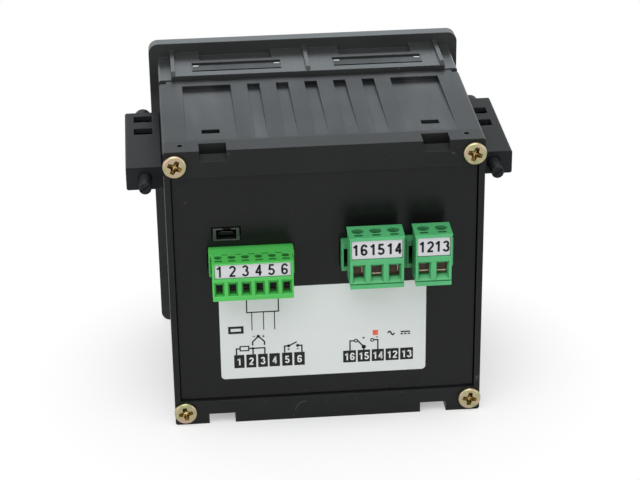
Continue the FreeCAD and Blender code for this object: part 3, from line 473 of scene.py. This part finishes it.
nodeSmooth = 28  # degrees between faces that still shade as one
wearing = {
    "bezelBlack": ["front_bezel"],
    "caseBlack": ["case_sleeve"],
    "frameBlack": ["rear_frame"],
    "plateBlack": ["rear_plate"],
    "clampBlack": ["left_clamp", "right_clamp", "left_clamp_foot", "right_clamp_foot", "left_clamp_screw",
                   "right_clamp_screw"],
    "smokedWindow": ["display_window"],
    "keyGrey": ["menu_key", "down_key", "up_key", "set_key"],
    "plungerTan": ["menu_plunger", "down_plunger", "up_plunger", "set_plunger"],
    "partBlack": ["key_switches", "board_link", "controller_chip"],
    "tongueBlack": ["usb_tongue"],
    "boardGreen": ["display_board", "main_board"],
    "digitDark": ["upper_digits", "lower_digits"],
    "lightRed": ["status_lights"],
    "labelPale": ["wiring_label"],
    "stripWhite": ["signal_numbers", "output_numbers", "supply_numbers"],
    "zincYellow": ["rear_screws"],
    "coreGrey": ["power_transformer"],
    "relayBlue": ["output_relay"],
    "canSilver": ["smoothing_capacitors"],
    "socketSteel": ["usb_shell"],
    "signalGreen": ["signal_header", "signal_plug"],
    "powerGreen": ["output_header", "output_plug", "supply_header", "supply_plug"],
    "pinTin": ["signal_pins", "output_pins", "supply_pins"],
    "terminalSteel": ["signal_screws", "output_screws", "supply_screws"],
    "cageSteel": ["signal_cages"],
    "cageBrass": ["output_cages", "supply_cages"],
}
for finish, names in wearing.items():
    for name in names:
        nodes[name].data.materials.clear()
        nodes[name].data.materials.append(paint[finish])
        smoothBelow(nodes[name].data, nodeSmooth)
print("nodes painted:", sum(len(names) for names in wearing.values()))


# rear screws: low heads with a soft rim and a tapered cross recess, each left at its own angle
# the curve goes in and down by shares of the rim
rearScrews = dict(head=3.35, height=1.3, shank=1.45, rim=0.55, span=4.2, arm=1.15, waist=1.55, depth=0.9,
                  floorSpan=1.5, floorArm=0.4, floorWaist=0.55, tip=0.25, turns=(-25, -19, 10, -8),
                  curve=((0.12, 0.62), (0.38, 0.29), (0.75, 0.07), (1.2, 0.0)), smooth=30)
look = rearScrews
low, high = boxOf("rear_screws")
r, h, rim, shank = (look[key] for key in ("head", "height", "rim", "shank"))
places = [(x, z) for z in (high.z - r, low.z + r) for x in (high.x - r, low.x + r)]
seat = high.y - h
end = low.y - seat
profile = [(0, end), (shank, end), (shank, 0), (r - rim / 2, 0), (r, rim / 3), (r, h - rim)]
profile += [(r - rim * inward, h - rim * down) for inward, down in look["curve"]]
bm = bmesh.new()
for (x, z), turn in zip(places, look["turns"]):
    place = onRear(x, seat, z)
    ring = addLathe(bm, profile, place)
    mouth = crossOutline(look["span"], look["arm"], look["waist"], turn)
    bottom = crossOutline(look["floorSpan"], look["floorArm"], look["floorWaist"], turn)
    # painted shade and highlight: the recess walls get a dark copy of the zinc, its floor a bright gold copy
    addSunkTop(bm, ring, mouth, bottom, look["depth"], look["tip"], h, place, tipPaint=2)
piece = newPiece("rear_screw_heads", bm, ["zincYellow", "zincRecessShade", "zincRecessHighlight"], "housing", look["smooth"])
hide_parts("rear_screws")
print("rear screws made")


# the plug-in terminal blocks, and how far their number strips lie behind their faces
plugs = {
    "signal": dict(body="signal_plug_body", ways=6, pitch=3.81),
    "output": dict(body="output_plug_body", ways=3, pitch=5.08),
    "supply": dict(body="supply_plug_body", ways=2, pitch=5.08),
}
stripSet = 0.35


def plugFace(family):
    return boxOf(family + "_numbers")[1].y + stripSet


# terminal screws: slotted heads down in the bores of the plugs, each left at its own angle
# bevel and slotReach are shares of the head's radius
terminalScrews = dict(bevel=0.12, slotReach=0.84, tip=0.01, sides=36, smooth=30,
                      turns=(-20, 17, 54, 5, 40, -35))
slotSizes = {"signal": (0.42, 0.45), "output": (0.6, 0.6), "supply": (0.6, 0.6)}  # width and depth
look = terminalScrews
for family, (width, depth) in slotSizes.items():
    node = family + "_screws"
    ways = plugs[family]["ways"]
    low, high = boxOf(node)
    radius = (high.y - low.y) / 2
    pitch = (high.x - low.x - 2 * radius) / (ways - 1)
    height = high.z - low.z
    bevel = radius * look["bevel"]
    profile = [(0, 0), (radius, 0), (radius, height - bevel), (radius - bevel, height)]
    bm = bmesh.new()
    for i in range(ways):
        place = onTop(high.x - radius - i * pitch, (low.y + high.y) / 2, low.z)
        ring = addLathe(bm, profile, place, look["sides"])
        slot = slotOutline(radius * look["slotReach"], width, look["turns"][i])
        addSunkTop(bm, ring, slot, slot, depth, look["tip"], height, place)
    # painted shade: the slot walls and floor get a darker copy of the head steel
    finish = ["terminalSteel", "slotShadeSteel"]
    piece = newPiece(node + "_slotted", bm, finish, plugs[family]["body"], look["smooth"])
    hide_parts(node)
print("terminal screws made")


# leaves of the wire clamps across the holes, each left at its own height, with a bright jaw edge
# painted shade: the leaves get near-black metal as the shade deep in the holes
wireClamps = {
    "signal": dict(cage=2.11, width=1.7, height=2.9, jaw=0.16, gaps=(0.3, 0.32, 0.3, 0.3, 0.34, 0.3),
                   leafPaint="shadedLeafDark", jawPaint="jawGreyHighlight"),
    "output": dict(cage=3.38, width=2.7, height=3.5, jaw=0.3, gaps=(0.0, 0.13, 0.0),
                   leafPaint="shadedLeafCopper", jawPaint="jawBrassHighlight"),
    "supply": dict(cage=3.38, width=2.7, height=3.5, jaw=0.3, gaps=(0.17, 0.14),
                   leafPaint="shadedLeafCopper", jawPaint="jawBrassHighlight"),
}
clampLeaf = dict(rise=0.9, thick=0.25, jawCorner=0.4)
# painted highlight: the jaws are real edges painted pale as the light they catch; the upright strips stand
# for a glint
uprightGlint = dict(near=0.72, far=0.86, low=0.3, high=0.9, thick=0.1)  # jaw beside a leaf that is shut
for family, look in wireClamps.items():
    node = family + "_cages"
    body = plugs[family]["body"]
    low, high = boxOf(node)
    ways = plugs[family]["ways"]
    pitch = (high.x - low.x - look["cage"]) / (ways - 1)
    half, height, jaw = look["width"] / 2, look["height"], look["jaw"]
    base = low.z + clampLeaf["rise"]
    leaves = bmesh.new()
    jaws = bmesh.new()
    for x, gap in zip(rowOf((low.x + high.x) / 2, pitch, ways), look["gaps"]):
        foot = gap * height
        leaf = boxOutline(-half, half, foot, height)
        addPrism(leaves, leaf, clampLeaf["thick"], onRear(x, high.y, base))
        ahead = onRear(x, high.y + clampLeaf["thick"], base)
        if gap > 0:
            outline = boxOutline(-half, half, foot, foot + jaw, jaw * clampLeaf["jawCorner"])
            addPrism(jaws, outline, clampLeaf["thick"], ahead)
        else:
            outline = boxOutline(half * uprightGlint["near"], half * uprightGlint["far"],
                                 height * uprightGlint["low"], height * uprightGlint["high"])
            addPrism(jaws, outline, uprightGlint["thick"], ahead)
    newPiece(node + "_leaves", leaves, [look["leafPaint"]], body)
    newPiece(node + "_jaws", jaws, [look["jawPaint"]], body)
print("wire clamps made")


# clamp screws and feet: a rolled thread with a plain slotted tail, and a domed cap at the front
clampScrews = dict(core=1.45, pitch=1.5, tail=9.5, headStart=3.2, step=0.3, slot=0.5, slotReach=0.88,
                   slotDepth=0.5, slotTip=0.01, turn=35, edge=0.15, sides=36, smooth=32)
clampFeet = dict(tip=0.8, dome=1.1, domeStep=15, socket=2.8, wall=0.7, sides=40, smooth=32)
for side in ("left", "right"):
    look = clampScrews
    low, high = boxOf(side + "_clamp_screw")
    radius = (high.z - low.z) / 2
    length = high.y - low.y
    place = onRear((low.x + high.x) / 2, low.y, (low.z + high.z) / 2)
    start, core, edge, step = (look[key] for key in ("headStart", "core", "edge", "step"))
    tail = length - look["tail"]
    profile = [(0, 0), (radius, 0), (radius, start), (core, start + step), (core, tail - step),
               (radius, tail), (radius, length - edge), (radius - edge, length)]
    bm = bmesh.new()
    addThread(bm, place, start, tail - look["pitch"] / 2, core, radius, look["pitch"])
    ring = addLathe(bm, profile, place, look["sides"])
    slot = slotOutline(radius * look["slotReach"], look["slot"], look["turn"])
    addSunkTop(bm, ring, slot, slot, look["slotDepth"], look["slotTip"], length, place)
    finish = ["clampBlack", "clampBlack"]  # shaft and slot
    piece = newPiece(side + "_clamp_screw_thread", bm, finish, side + "_screw_body", look["smooth"])
    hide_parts(side + "_clamp_screw")

    look = clampFeet
    low, high = boxOf(side + "_clamp_foot")
    radius = (high.z - low.z) / 2
    length = high.y - low.y
    tip, bore, floorY = look["tip"], radius - look["wall"], length - look["socket"]
    dome = [(tip + (radius - tip) * sin(radians(a)), look["dome"] * (1 - cos(radians(a))))
            for a in range(0, 91, look["domeStep"])]
    profile = [(0, 0)] + dome + [(radius, length), (bore, length), (bore, floorY), (0, floorY)]
    bm = bmesh.new()
    addLathe(bm, profile, onRear((low.x + high.x) / 2, low.y, (low.z + high.z) / 2), look["sides"])
    piece = newPiece(side + "_clamp_foot_cap", bm, ["clampBlack"], side + "_foot_body", look["smooth"])
    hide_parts(side + "_clamp_foot")
print("clamp screws and feet made")


# two small moulding dimples on the top of the rear frame; shoulder and lip are shares of the rise
dimples = dict(x=40.4, rearGap=4.3, radius=0.8, rim=0.35, rise=0.05, shoulder=0.2, lip=0.4, sides=24,
               smooth=40)
look = dimples
frameHigh = boxOf("rear_frame")[1]
r, rim, rise = look["radius"], look["rim"], look["rise"]
shoulder, lip = look["shoulder"] * rise, look["lip"] * rise
rims = bmesh.new()
pits = bmesh.new()
for x in (look["x"], -look["x"]):
    place = onTop(x, frameHigh.y - look["rearGap"], frameHigh.z)
    profile = [(r, -rise), (r + rim, -rise), (r + rim, shoulder), (r + rim / 2, rise), (r, lip)]
    addLathe(rims, profile, place, look["sides"])
    addLathe(pits, [(0, -rise), (r, -rise), (r, lip), (0, shoulder)], place, look["sides"])
# painted highlight and shade: the rims in a paler grey, the pits in near-black
newPiece("rear_frame_dimple_rims", rims, ["markAndHighlightGrey"], "housing", look["smooth"])
newPiece("rear_frame_dimple_pits", pits, ["shadeBlack"], "housing", look["smooth"])
print("dimples made")


# faint mould marks on the lower band of the rear frame: part of a ring, and a short tick
mouldMarks = dict(x=6.65, z=-41.0, radius=3.0, start=178, end=85, width=0.28, tickX=0.57, tickHigh=-37.9,
                  tickLow=-39.0, tickWidth=0.15, thick=0.01)
look = mouldMarks
flat = onRear(0, frameHigh.y, 0)
ring = arc(-look["x"], look["z"], look["radius"], look["radius"], look["start"], look["end"])
tick = [(-look["tickX"], look["tickHigh"]), (-look["tickX"], look["tickLow"])]
bm = bmesh.new()
addRibbon(bm, ring, look["width"], look["thick"], flat)
addRibbon(bm, tick, look["tickWidth"], look["thick"], flat)
newPiece("rear_frame_marks", bm, ["markAndHighlightGrey"], "housing")
print("mould marks made")


# latch bars: pale patches painted as glints beside the notches at their ends, a dark strip painted as the
# shade in the gap behind each bar, and ends that close against the window
latchBars = dict(inner=8.3, outer=34.7, lipGap=0.4, notch=1.0, nose=1.6, noseDrop=0.35, depth=5.6)
glintFaces = dict(length=1.75, depth=1.0, thick=0.03)
# painted shade: a near-black strip on the rear face of each bar stands for the shade in the gap behind it
gapShade = dict(height=0.5, thick=0.03)
barEnds = dict(gap=0.3, drop=0.02, height=0.4)
look = latchBars
low, high = boxOf("case_sleeve")
front = low.y + look["lipGap"]
rear = front + look["depth"]
half = (look["outer"] - look["inner"]) / 2
start = look["notch"] - look["nose"]
slope = [(start, start * look["noseDrop"] / look["nose"]), (0, 0), (start + glintFaces["depth"], 0)]
shade = boxOutline(-half, half, -gapShade["height"], 0)
end = boxOutline(half, half + barEnds["gap"], -barEnds["drop"] - barEnds["height"], -barEnds["drop"])
barGlints = bmesh.new()
shades = bmesh.new()
ends = bmesh.new()
for side in (1, -1):
    for top in (1, -1):
        face = [(u, top * v) for u, v in slope]
        face += [(u, top * (v + glintFaces["thick"])) for u, v in reversed(slope)]
        for x in (look["inner"], look["outer"] - glintFaces["length"]):
            place = onEnd(side * x, front + look["nose"], top * high.z)
            addPrism(barGlints, face, side * glintFaces["length"], place)
        place = onRear(side * (look["inner"] + half), rear, top * high.z)
        addPrism(shades, [(u, top * v) for u, v in shade], gapShade["thick"], place)
        for way in (1, -1):
            outline = [(way * u, top * v) for u, v in end]
            addPrism(ends, outline, look["notch"] - look["depth"], place)
newPiece("latch_glints", barGlints, ["glintPale"], "housing")
newPiece("latch_shades", shades, ["shadeBlack"], "housing")
newPiece("latch_ends", ends, ["bezelBlack"], "housing")
print("latch bars dressed")


# contacts on the tongue of the data socket
socketContacts = dict(count=5, pitch=0.65, width=0.32, thick=0.05, length=4.0, tongueHalf=0.5)
look = socketContacts
low, high = boxOf("usb_tongue")
middle = (low + high) / 2
half, thick, tongueTop = look["width"] / 2, look["thick"], look["tongueHalf"]
outline = boxOutline(-half, half, tongueTop - thick, tongueTop + thick)
bm = bmesh.new()
for x in rowOf(middle.x, -look["pitch"], look["count"]):
    addPrism(bm, outline, look["length"], onRear(x, high.y - look["length"] + thick, middle.z))
newPiece("socket_contacts", bm, ["contactTin"], "housing")
print("socket contacts made")


# thick side walls of the data socket, and a near-black strip painted as the shade of the notch in its top
# wall
socketShoulders = dict(innerHalf=2.85, outerHalf=3.75, depth=2.0, setback=0.02, margin=0.02)
socketNotchShade = dict(half=1.15, right=0.2, height=0.45, thick=0.02)
look = socketShoulders
low, high = boxOf("usb_shell")
x = (low.x + high.x) / 2
bm = bmesh.new()
for way in (1, -1):
    near, far = way * look["innerHalf"], way * look["outerHalf"]
    outline = boxOutline(near, far, low.z + look["margin"], high.z - look["margin"])
    addPrism(bm, outline, look["depth"], onRear(x, high.y - look["setback"] - look["depth"], 0))
newPiece("socket_shoulders", bm, ["socketSteel"], "housing")
look = socketNotchShade
bm = bmesh.new()
outline = boxOutline(look["right"] - look["half"], look["right"] + look["half"],
                     high.z - look["height"], high.z)
addPrism(bm, outline, look["thick"], onRear(x, high.y, 0))
newPiece("socket_notch_shade", bm, ["shadeBlack"], "housing")
print("socket walls made")


# dark strips painted as the shade in the marking slots on the plug tops, and of the step between the small
# plug's bores
slotShades = dict(length=2.1, width=1.0, thick=0.02, setback=2.36)
boreStepShades = dict(length=1.8, width=0.5, thick=0.02, setback=6.0)


def addTopRow(bm, family, count, look):  # thin strips in a row across the top of a plug
    low, high = boxOf(family + "_plug")
    strip = boxOutline(-look["length"] / 2, look["length"] / 2, -look["width"], 0)
    for x in rowOf((low.x + high.x) / 2, plugs[family]["pitch"], count):
        addPrism(bm, strip, look["thick"], onTop(x, plugFace(family) - look["setback"], high.z))


for family, finish in (("signal", "markGreen"), ("output", "seamGreen"), ("supply", "seamGreen")):
    bm = bmesh.new()
    addTopRow(bm, family, plugs[family]["ways"], slotShades)
    newPiece(family + "_plug_slot_shades", bm, [finish], plugs[family]["body"])
# painted shade of the small step between the bores
bm = bmesh.new()
addTopRow(bm, "signal", plugs["signal"]["ways"] - 1, boreStepShades)
newPiece("signal_plug_seam", bm, ["markGreen"], plugs["signal"]["body"])
print("plug tops marked")


# dark strip painted as the shade of the seam groove above the foot ledge of the large plugs
seamShades = dict(rise=1.2, height=0.2, margin=0.35, thick=0.04)
look = seamShades
for family in ("output", "supply"):
    low, high = boxOf(family + "_plug")
    half = (high.x - low.x) / 2 - look["margin"]
    place = onRear((low.x + high.x) / 2, plugFace(family), low.z + look["rise"])
    bm = bmesh.new()
    addPrism(bm, boxOutline(-half, half, 0, look["height"]), look["thick"], place)
    newPiece(family + "_plug_seam", bm, ["seamGreen"], plugs[family]["body"])
print("plug seams made")


# numbers on the terminal strips
stripPrint = {
    "signal": dict(words="1 2 3 4 5 6", pitch=3.66, height=3.4, stroke=0.56, left=0.25),
    "output": dict(words="16 15 14", pitch=4.85, height=3.38, stroke=0.64, left=0.0),
    "supply": dict(words="12 13", pitch=4.5, height=3.34, stroke=0.62, left=-0.1),
}
for family, look in stripPrint.items():
    node = family + "_numbers"
    low, high = boxOf(node)
    middle = (low + high) / 2
    words = look["words"].split()
    bm = bmesh.new()
    for x, word in zip(rowOf(middle.x + look["left"], look["pitch"], len(words)), words):
        addNumber(bm, word, look["height"], look["stroke"], onRear(x, high.y, middle.z))
    newPiece(node + "_print", bm, ["printBlack"], plugs[family]["body"])
print("strip numbers printed")


# wiring print on the pale label, in millimetres: x as in the frame, z up
labelPrint = dict(
    line=0.42, thin=0.26, ringLine=0.336, corner=0.08, low=-26.1, high=-21.75, lowerHigh=-22.15,
    digit=2.35, stroke=0.42, digitDrop=0.05, redCorner=0.15, ringSteps=24, waveSteps=24,
    boxes=[(27.35, 24.35, "1"), (23.8, 20.9, "2"), (20.35, 17.5, "3"), (17.05, 13.95, "4"),
           (13.3, 10.3, "5"), (9.75, 6.65, "6")],
    lowerBoxes=[(-4.65, -8.45, "16"), (-8.95, -12.6, "15"), (-13.1, -16.7, "14"), (-17.2, -21.05, "12"),
                (-21.5, -25.3, "13")],
    wires=[[(26.6, -21.7), (26.6, -19.7), (25.5, -19.7)],
           [(23.0, -19.75), (18.3, -19.75), (18.3, -21.7)], [(21.75, -19.75), (21.75, -21.7)],
           [(21.8, -18.8), (21.8, -17.65), (20.1, -15.85), (18.35, -17.65), (18.35, -18.8)],
           [(12.5, -21.7), (12.5, -19.55), (11.3, -19.55), (8.9, -18.3)],
           [(8.65, -19.55), (7.45, -19.55), (7.45, -21.7)],
           [(-6.7, -22.2), (-6.7, -19.0), (-7.95, -19.0)],
           [(-8.85, -18.9), (-10.75, -21.1), (-10.75, -22.2)],
           [(-13.85, -19.0), (-14.9, -19.0), (-14.9, -22.2)]],
    fineWires=[[(x, -8.0), (x, -13.8)] for x in (21.85, 18.45, 15.25)],
    minusSigns=[(21.43, -15.85), (8.7, -20.65), (-14.63, -18.1)],
    plusSigns=[(18.65, -15.9), (11.37, -20.65), (-10.7, -18.15)],
    signHalf=0.32,
    dots=[(20.1, -15.85, 0.48), (21.75, -19.75, 0.38), (11.3, -19.55, 0.48), (8.65, -19.55, 0.48),
          (-10.75, -21.15, 0.65)],
    rings=[(-8.45, -19.0, 0.45), (-13.25, -19.0, 0.45)],
    frames=[(25.5, 23.0, -20.4, -19.0), (23.25, 14.05, -7.9, -3.0), (28.45, 24.7, -14.35, -12.65)],
    frameLines=[0.36, 0.36, 0.72],
    redBars=[(-13.4, -14.95, -17.4, -15.8)],
    redGlints=[(-14.2, -14.75, -16.9, -16.3)],
    wave=(-18.8, -17.05, 1.9, 0.6),
    supplyBars=[(-21.6, -24.4, -16.75), (-21.6, -22.3, -17.45), (-22.65, -23.35, -17.45),
                (-23.7, -24.4, -17.45)],
)
face = boxOf("wiring_label")[1].y
look = labelPrint
line, thin, half = look["line"], look["thin"], look["signHalf"]
blackMarks = bmesh.new()
whiteMarks = bmesh.new()
redMarks = bmesh.new()
glints = bmesh.new()
flat = onRear(0, face, 0)
upper = onRear(0, face + printDepth, 0)


def mirrored(points):  # from frame x to the drawing plane
    return [(-x, z) for x, z in points]


for boxes, high in ((look["boxes"], look["high"]), (look["lowerBoxes"], look["lowerHigh"])):
    low = look["low"]
    for x0, x1, word in boxes:
        addPrism(blackMarks, boxOutline(-x0, -x1, low, high, look["corner"]), printDepth, flat)
        place = onRear((x0 + x1) / 2, face + printDepth, (low + high) / 2 - look["digitDrop"])
        addNumber(whiteMarks, word, look["digit"], look["stroke"], place)
for wire in look["wires"]:
    addRibbon(blackMarks, mirrored(wire), line, printDepth, flat)
for wire in look["fineWires"]:
    addRibbon(blackMarks, mirrored(wire), thin, printDepth, flat)
for x, z in look["minusSigns"] + look["plusSigns"]:
    addRibbon(blackMarks, mirrored([(x + half, z), (x - half, z)]), thin, printDepth, flat)
for x, z in look["plusSigns"]:
    addRibbon(blackMarks, mirrored([(x, z + half), (x, z - half)]), thin, printDepth, flat)
for x, z, radius in look["dots"]:
    addPrism(blackMarks, discOutline(-x, z, radius), printDepth, flat)
for x, z, radius in look["rings"]:
    ring = arc(-x, z, radius, radius, 0, 360, look["ringSteps"])
    addRibbon(blackMarks, ring, look["ringLine"], printDepth, flat)
for (x0, x1, z0, z1), width in zip(look["frames"], look["frameLines"]):
    middle = (z0 + z1) / 2
    loop = [(x0, middle), (x0, z1), (x1, z1), (x1, z0), (x0, z0), (x0, middle)]
    addRibbon(blackMarks, mirrored(loop), width, printDepth, flat)
x, z, width, swing = look["wave"]  # alternating-current sign
steps = look["waveSteps"]
wave = [(-x + width * (i / steps - 0.5), z + swing * sin(2 * pi * i / steps)) for i in range(steps + 1)]
addRibbon(blackMarks, wave, line, printDepth, flat)
for x0, x1, z in look["supplyBars"]:  # direct-current sign
    addRibbon(blackMarks, mirrored([(x0, z), (x1, z)]), line, printDepth, flat)
for x0, x1, z0, z1 in look["redBars"]:
    addPrism(redMarks, boxOutline(-x0, -x1, z0, z1, look["redCorner"]), printDepth, flat)
# painted highlight: a paler orange patch on the red box
for x0, x1, z0, z1 in look["redGlints"]:
    addPrism(glints, boxOutline(-x0, -x1, z0, z1, look["redCorner"]), printDepth, upper)
newPiece("label_black_print", blackMarks, ["printBlack"], "housing")
newPiece("label_white_print", whiteMarks, ["printWhite"], "housing")
newPiece("label_red_print", redMarks, ["printRed"], "housing")
newPiece("label_red_glint", glints, ["glintOrange"], "housing")
print("label printed")


# unlit seven-segment digits behind the smoked window; trim and dot sizes are shares of the stroke
displayDigits = {
    "upper_digits": dict(count=4, pitch=14.0, width=8.6, height=17.0, stroke=1.7),
    "lower_digits": dict(count=4, pitch=10.6, width=5.6, height=9.6, stroke=1.1),
}
segments = dict(lean=0.08, thick=0.05, trim=0.1, dotGap=1.1, dotSize=0.5, dotSides=16)


def addSegment(bm, place, u0, v0, u1, v1, width):  # six-sided bar, sheared like a display digit
    along = Vector((u1 - u0, v1 - v0)).normalized()
    side = Vector((-along.y, along.x)) * width / 2
    trim = along * width * segments["trim"]
    a, b = Vector((u0, v0)) + trim, Vector((u1, v1)) - trim
    inset = along * width / 2
    points = [a, a + inset - side, b - inset - side, b, b - inset + side, a + inset + side]
    addPrism(bm, [(p.x + p.y * segments["lean"], p.y) for p in points], segments["thick"], place)


for node, look in displayDigits.items():
    low, high = boxOf(node)
    middle = (low + high) / 2
    stroke = look["stroke"]
    w, h = look["width"] / 2 - stroke / 2, look["height"] / 2 - stroke / 2
    dotU = w + stroke * segments["dotGap"] - h * segments["lean"]
    dot = discOutline(dotU, -h, stroke * segments["dotSize"], segments["dotSides"])
    bm = bmesh.new()
    for x in rowOf(middle.x, -look["pitch"], look["count"]):
        place = onFront(x, low.y, middle.z)
        for u0, v0, u1, v1 in ((-w, h, w, h), (-w, 0, w, 0), (-w, -h, w, -h), (-w, 0, -w, h), (w, 0, w, h),
                               (-w, -h, -w, 0), (w, -h, w, 0)):
            addSegment(bm, place, u0, v0, u1, v1, stroke)
        addPrism(bm, dot, segments["thick"], place)
    newPiece(node + "_segments", bm, ["segmentPale"], "housing")
print("digits drawn")


# plain signs on the four keys, in millimetres about the middle of each
keySigns = {
    "menu_key": [boxOutline(-2.4, 2.4, v - 0.3, v + 0.3, 0.15) for v in (-1.3, 0, 1.3)],
    "down_key": [[(-2.0, 1.1), (2.0, 1.1), (0, -1.5)]],
    "up_key": [[(-2.0, -1.1), (2.0, -1.1), (0, 1.5)]],
    "set_key": [strokeOutline(-1.8, 0.1, -0.6, -1.2, 0.6), strokeOutline(-0.6, -1.2, 1.9, 1.5, 0.6)],
}
for node, outlines in keySigns.items():
    low, high = boxOf(node)
    middle = (low + high) / 2
    bm = bmesh.new()
    for outline in outlines:
        addPrism(bm, outline, printDepth, onFront(middle.x, low.y, middle.z))
    newPiece(node + "_sign", bm, ["printWhite"], node + "_body")
print("key signs printed")


# floor, light and camera
stage = dict(floorSide=6.0, floorColour=(0.93, 0.93, 0.93), floorRough=0.9, clearFrom=0.035, clearTo=0.1,
             skyLight=0.5)
lamps = {  # metres and watts; each lamp faces the part
    "key": dict(place=(0.15, 0.55, 1.1), width=1.2, height=1.2, watts=9.8, colour=white),
    "backdrop": dict(place=(0.0, -1.4, 0.55), width=2.4, height=0.45, watts=4.4, colour=(0.74, 0.90, 1.0)),
    "leftFill": dict(place=(0.9, 0.7, 0.3), width=0.7, height=0.7, watts=1.5, colour=white),
    "rightFill": dict(place=(-0.9, 0.7, 0.3), width=0.7, height=0.7, watts=1.5, colour=white),
}


def seenDirectly(tree):  # camera, mirror and see-through rays
    rays = addNode(tree, "ShaderNodeLightPath")
    first = addNode(tree, "ShaderNodeMath", operation="MAXIMUM")
    second = addNode(tree, "ShaderNodeMath", operation="MAXIMUM")
    tree.links.new(rays.outputs["Is Camera Ray"], first.inputs[0])
    tree.links.new(rays.outputs["Is Glossy Ray"], first.inputs[1])
    tree.links.new(first.outputs["Value"], second.inputs[0])
    tree.links.new(rays.outputs["Is Transmission Ray"], second.inputs[1])
    return second.outputs["Value"]


# the part stands on its bezel's lower edge and on the rear frame, so the floor leans with them
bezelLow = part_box("front_bezel")[0].z
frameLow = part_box("rear_frame")[0].z
lean = (frameLow - bezelLow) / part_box("rear_frame")[1].y
half = stage["floorSide"] / 2
centre = (cadBox[0][1] + cadBox[1][1]) / 2
bm = bmesh.new()
bm.faces.new([bm.verts.new((x, y, bezelLow + (centre + y) * lean))
              for x, y in ((-half, -half), (half, -half), (half, half), (-half, half))])
mesh = bpy.data.meshes.new("floor")
bm.to_mesh(mesh)
bm.free()
floor = bpy.data.objects.new("floor", mesh)
floor.location.y = centre
scene.collection.objects.link(floor)

material, tree, shader = startMaterial("paleFloor")
shader.inputs["Base Color"].default_value = (*stage["floorColour"], 1)
shader.inputs["Roughness"].default_value = stage["floorRough"]
shader.inputs["Specular IOR Level"].default_value = 0.0
glow = addNode(tree, "ShaderNodeEmission")
glow.inputs["Color"].default_value = (*white, 1)
glow.inputs["Strength"].default_value = 1.0
distance = addNode(tree, "ShaderNodeVectorMath", operation="LENGTH")
tree.links.new(addNode(tree, "ShaderNodeTexCoord").outputs["Object"], distance.inputs[0])
fade = addNode(tree, "ShaderNodeMapRange")
fade.inputs["From Min"].default_value = stage["clearFrom"]
fade.inputs["From Max"].default_value = stage["clearTo"]
tree.links.new(distance.outputs["Value"], fade.inputs["Value"])
share = addNode(tree, "ShaderNodeMath", operation="MULTIPLY")
tree.links.new(fade.outputs["Result"], share.inputs[0])
tree.links.new(seenDirectly(tree), share.inputs[1])
blend = addNode(tree, "ShaderNodeMixShader")
tree.links.new(share.outputs["Value"], blend.inputs["Fac"])
tree.links.new(shader.outputs["BSDF"], blend.inputs[1])
tree.links.new(glow.outputs["Emission"], blend.inputs[2])
tree.links.new(blend.outputs["Shader"], tree.nodes["Material Output"].inputs["Surface"])
floor.data.materials.append(material)

world = bpy.data.worlds.new("studio")
scene.world = world
world.use_nodes = True
tree = world.node_tree
soft = tree.nodes["Background"]
soft.inputs["Color"].default_value = (*white, 1)
soft.inputs["Strength"].default_value = stage["skyLight"]
clear = addNode(tree, "ShaderNodeBackground")
clear.inputs["Color"].default_value = (*white, 1)
clear.inputs["Strength"].default_value = 1.0
blend = addNode(tree, "ShaderNodeMixShader")
tree.links.new(seenDirectly(tree), blend.inputs["Fac"])
tree.links.new(soft.outputs["Background"], blend.inputs[1])
tree.links.new(clear.outputs["Background"], blend.inputs[2])
tree.links.new(blend.outputs["Shader"], tree.nodes["World Output"].inputs["Surface"])

for name, look in lamps.items():
    lamp = bpy.data.lights.new(name, "AREA")
    lamp.color = look["colour"]
    lamp.shape = "RECTANGLE"
    lamp.size = look["width"]
    lamp.size_y = look["height"]
    lamp.energy = look["watts"]
    holder = bpy.data.objects.new(name, lamp)
    scene.collection.objects.link(holder)
    holder.location = look["place"]
    holder.rotation_mode = "QUATERNION"
    holder.rotation_quaternion = (-Vector(look["place"])).to_track_quat("-Z", "Y")
    holder.visible_camera = False

# the camera: place and lens in millimetres, turns about X, Y and Z in degrees, clips in metres
view = dict(place=(45.89, 606.81, 271.65), turns=(63.426, 0.709, 175.046), focal=116.99, sensor=36.0,
            shift=(0.0065, 0.0487), near=0.01, far=20.0)
cameraData = bpy.data.cameras.new("camera")
cameraData.sensor_width = view["sensor"]
cameraData.lens = view["focal"]
cameraData.shift_x, cameraData.shift_y = view["shift"]
cameraData.clip_start, cameraData.clip_end = view["near"], view["far"]
camera = bpy.data.objects.new("camera", cameraData)
scene.collection.objects.link(camera)
aim = Euler([radians(turn) for turn in view["turns"]]).to_matrix().to_4x4()
aim.translation = Vector(view["place"]) * mm
camera.matrix_world = aim
scene.camera = camera
scene.view_settings.view_transform = "Standard"
print("stage set")
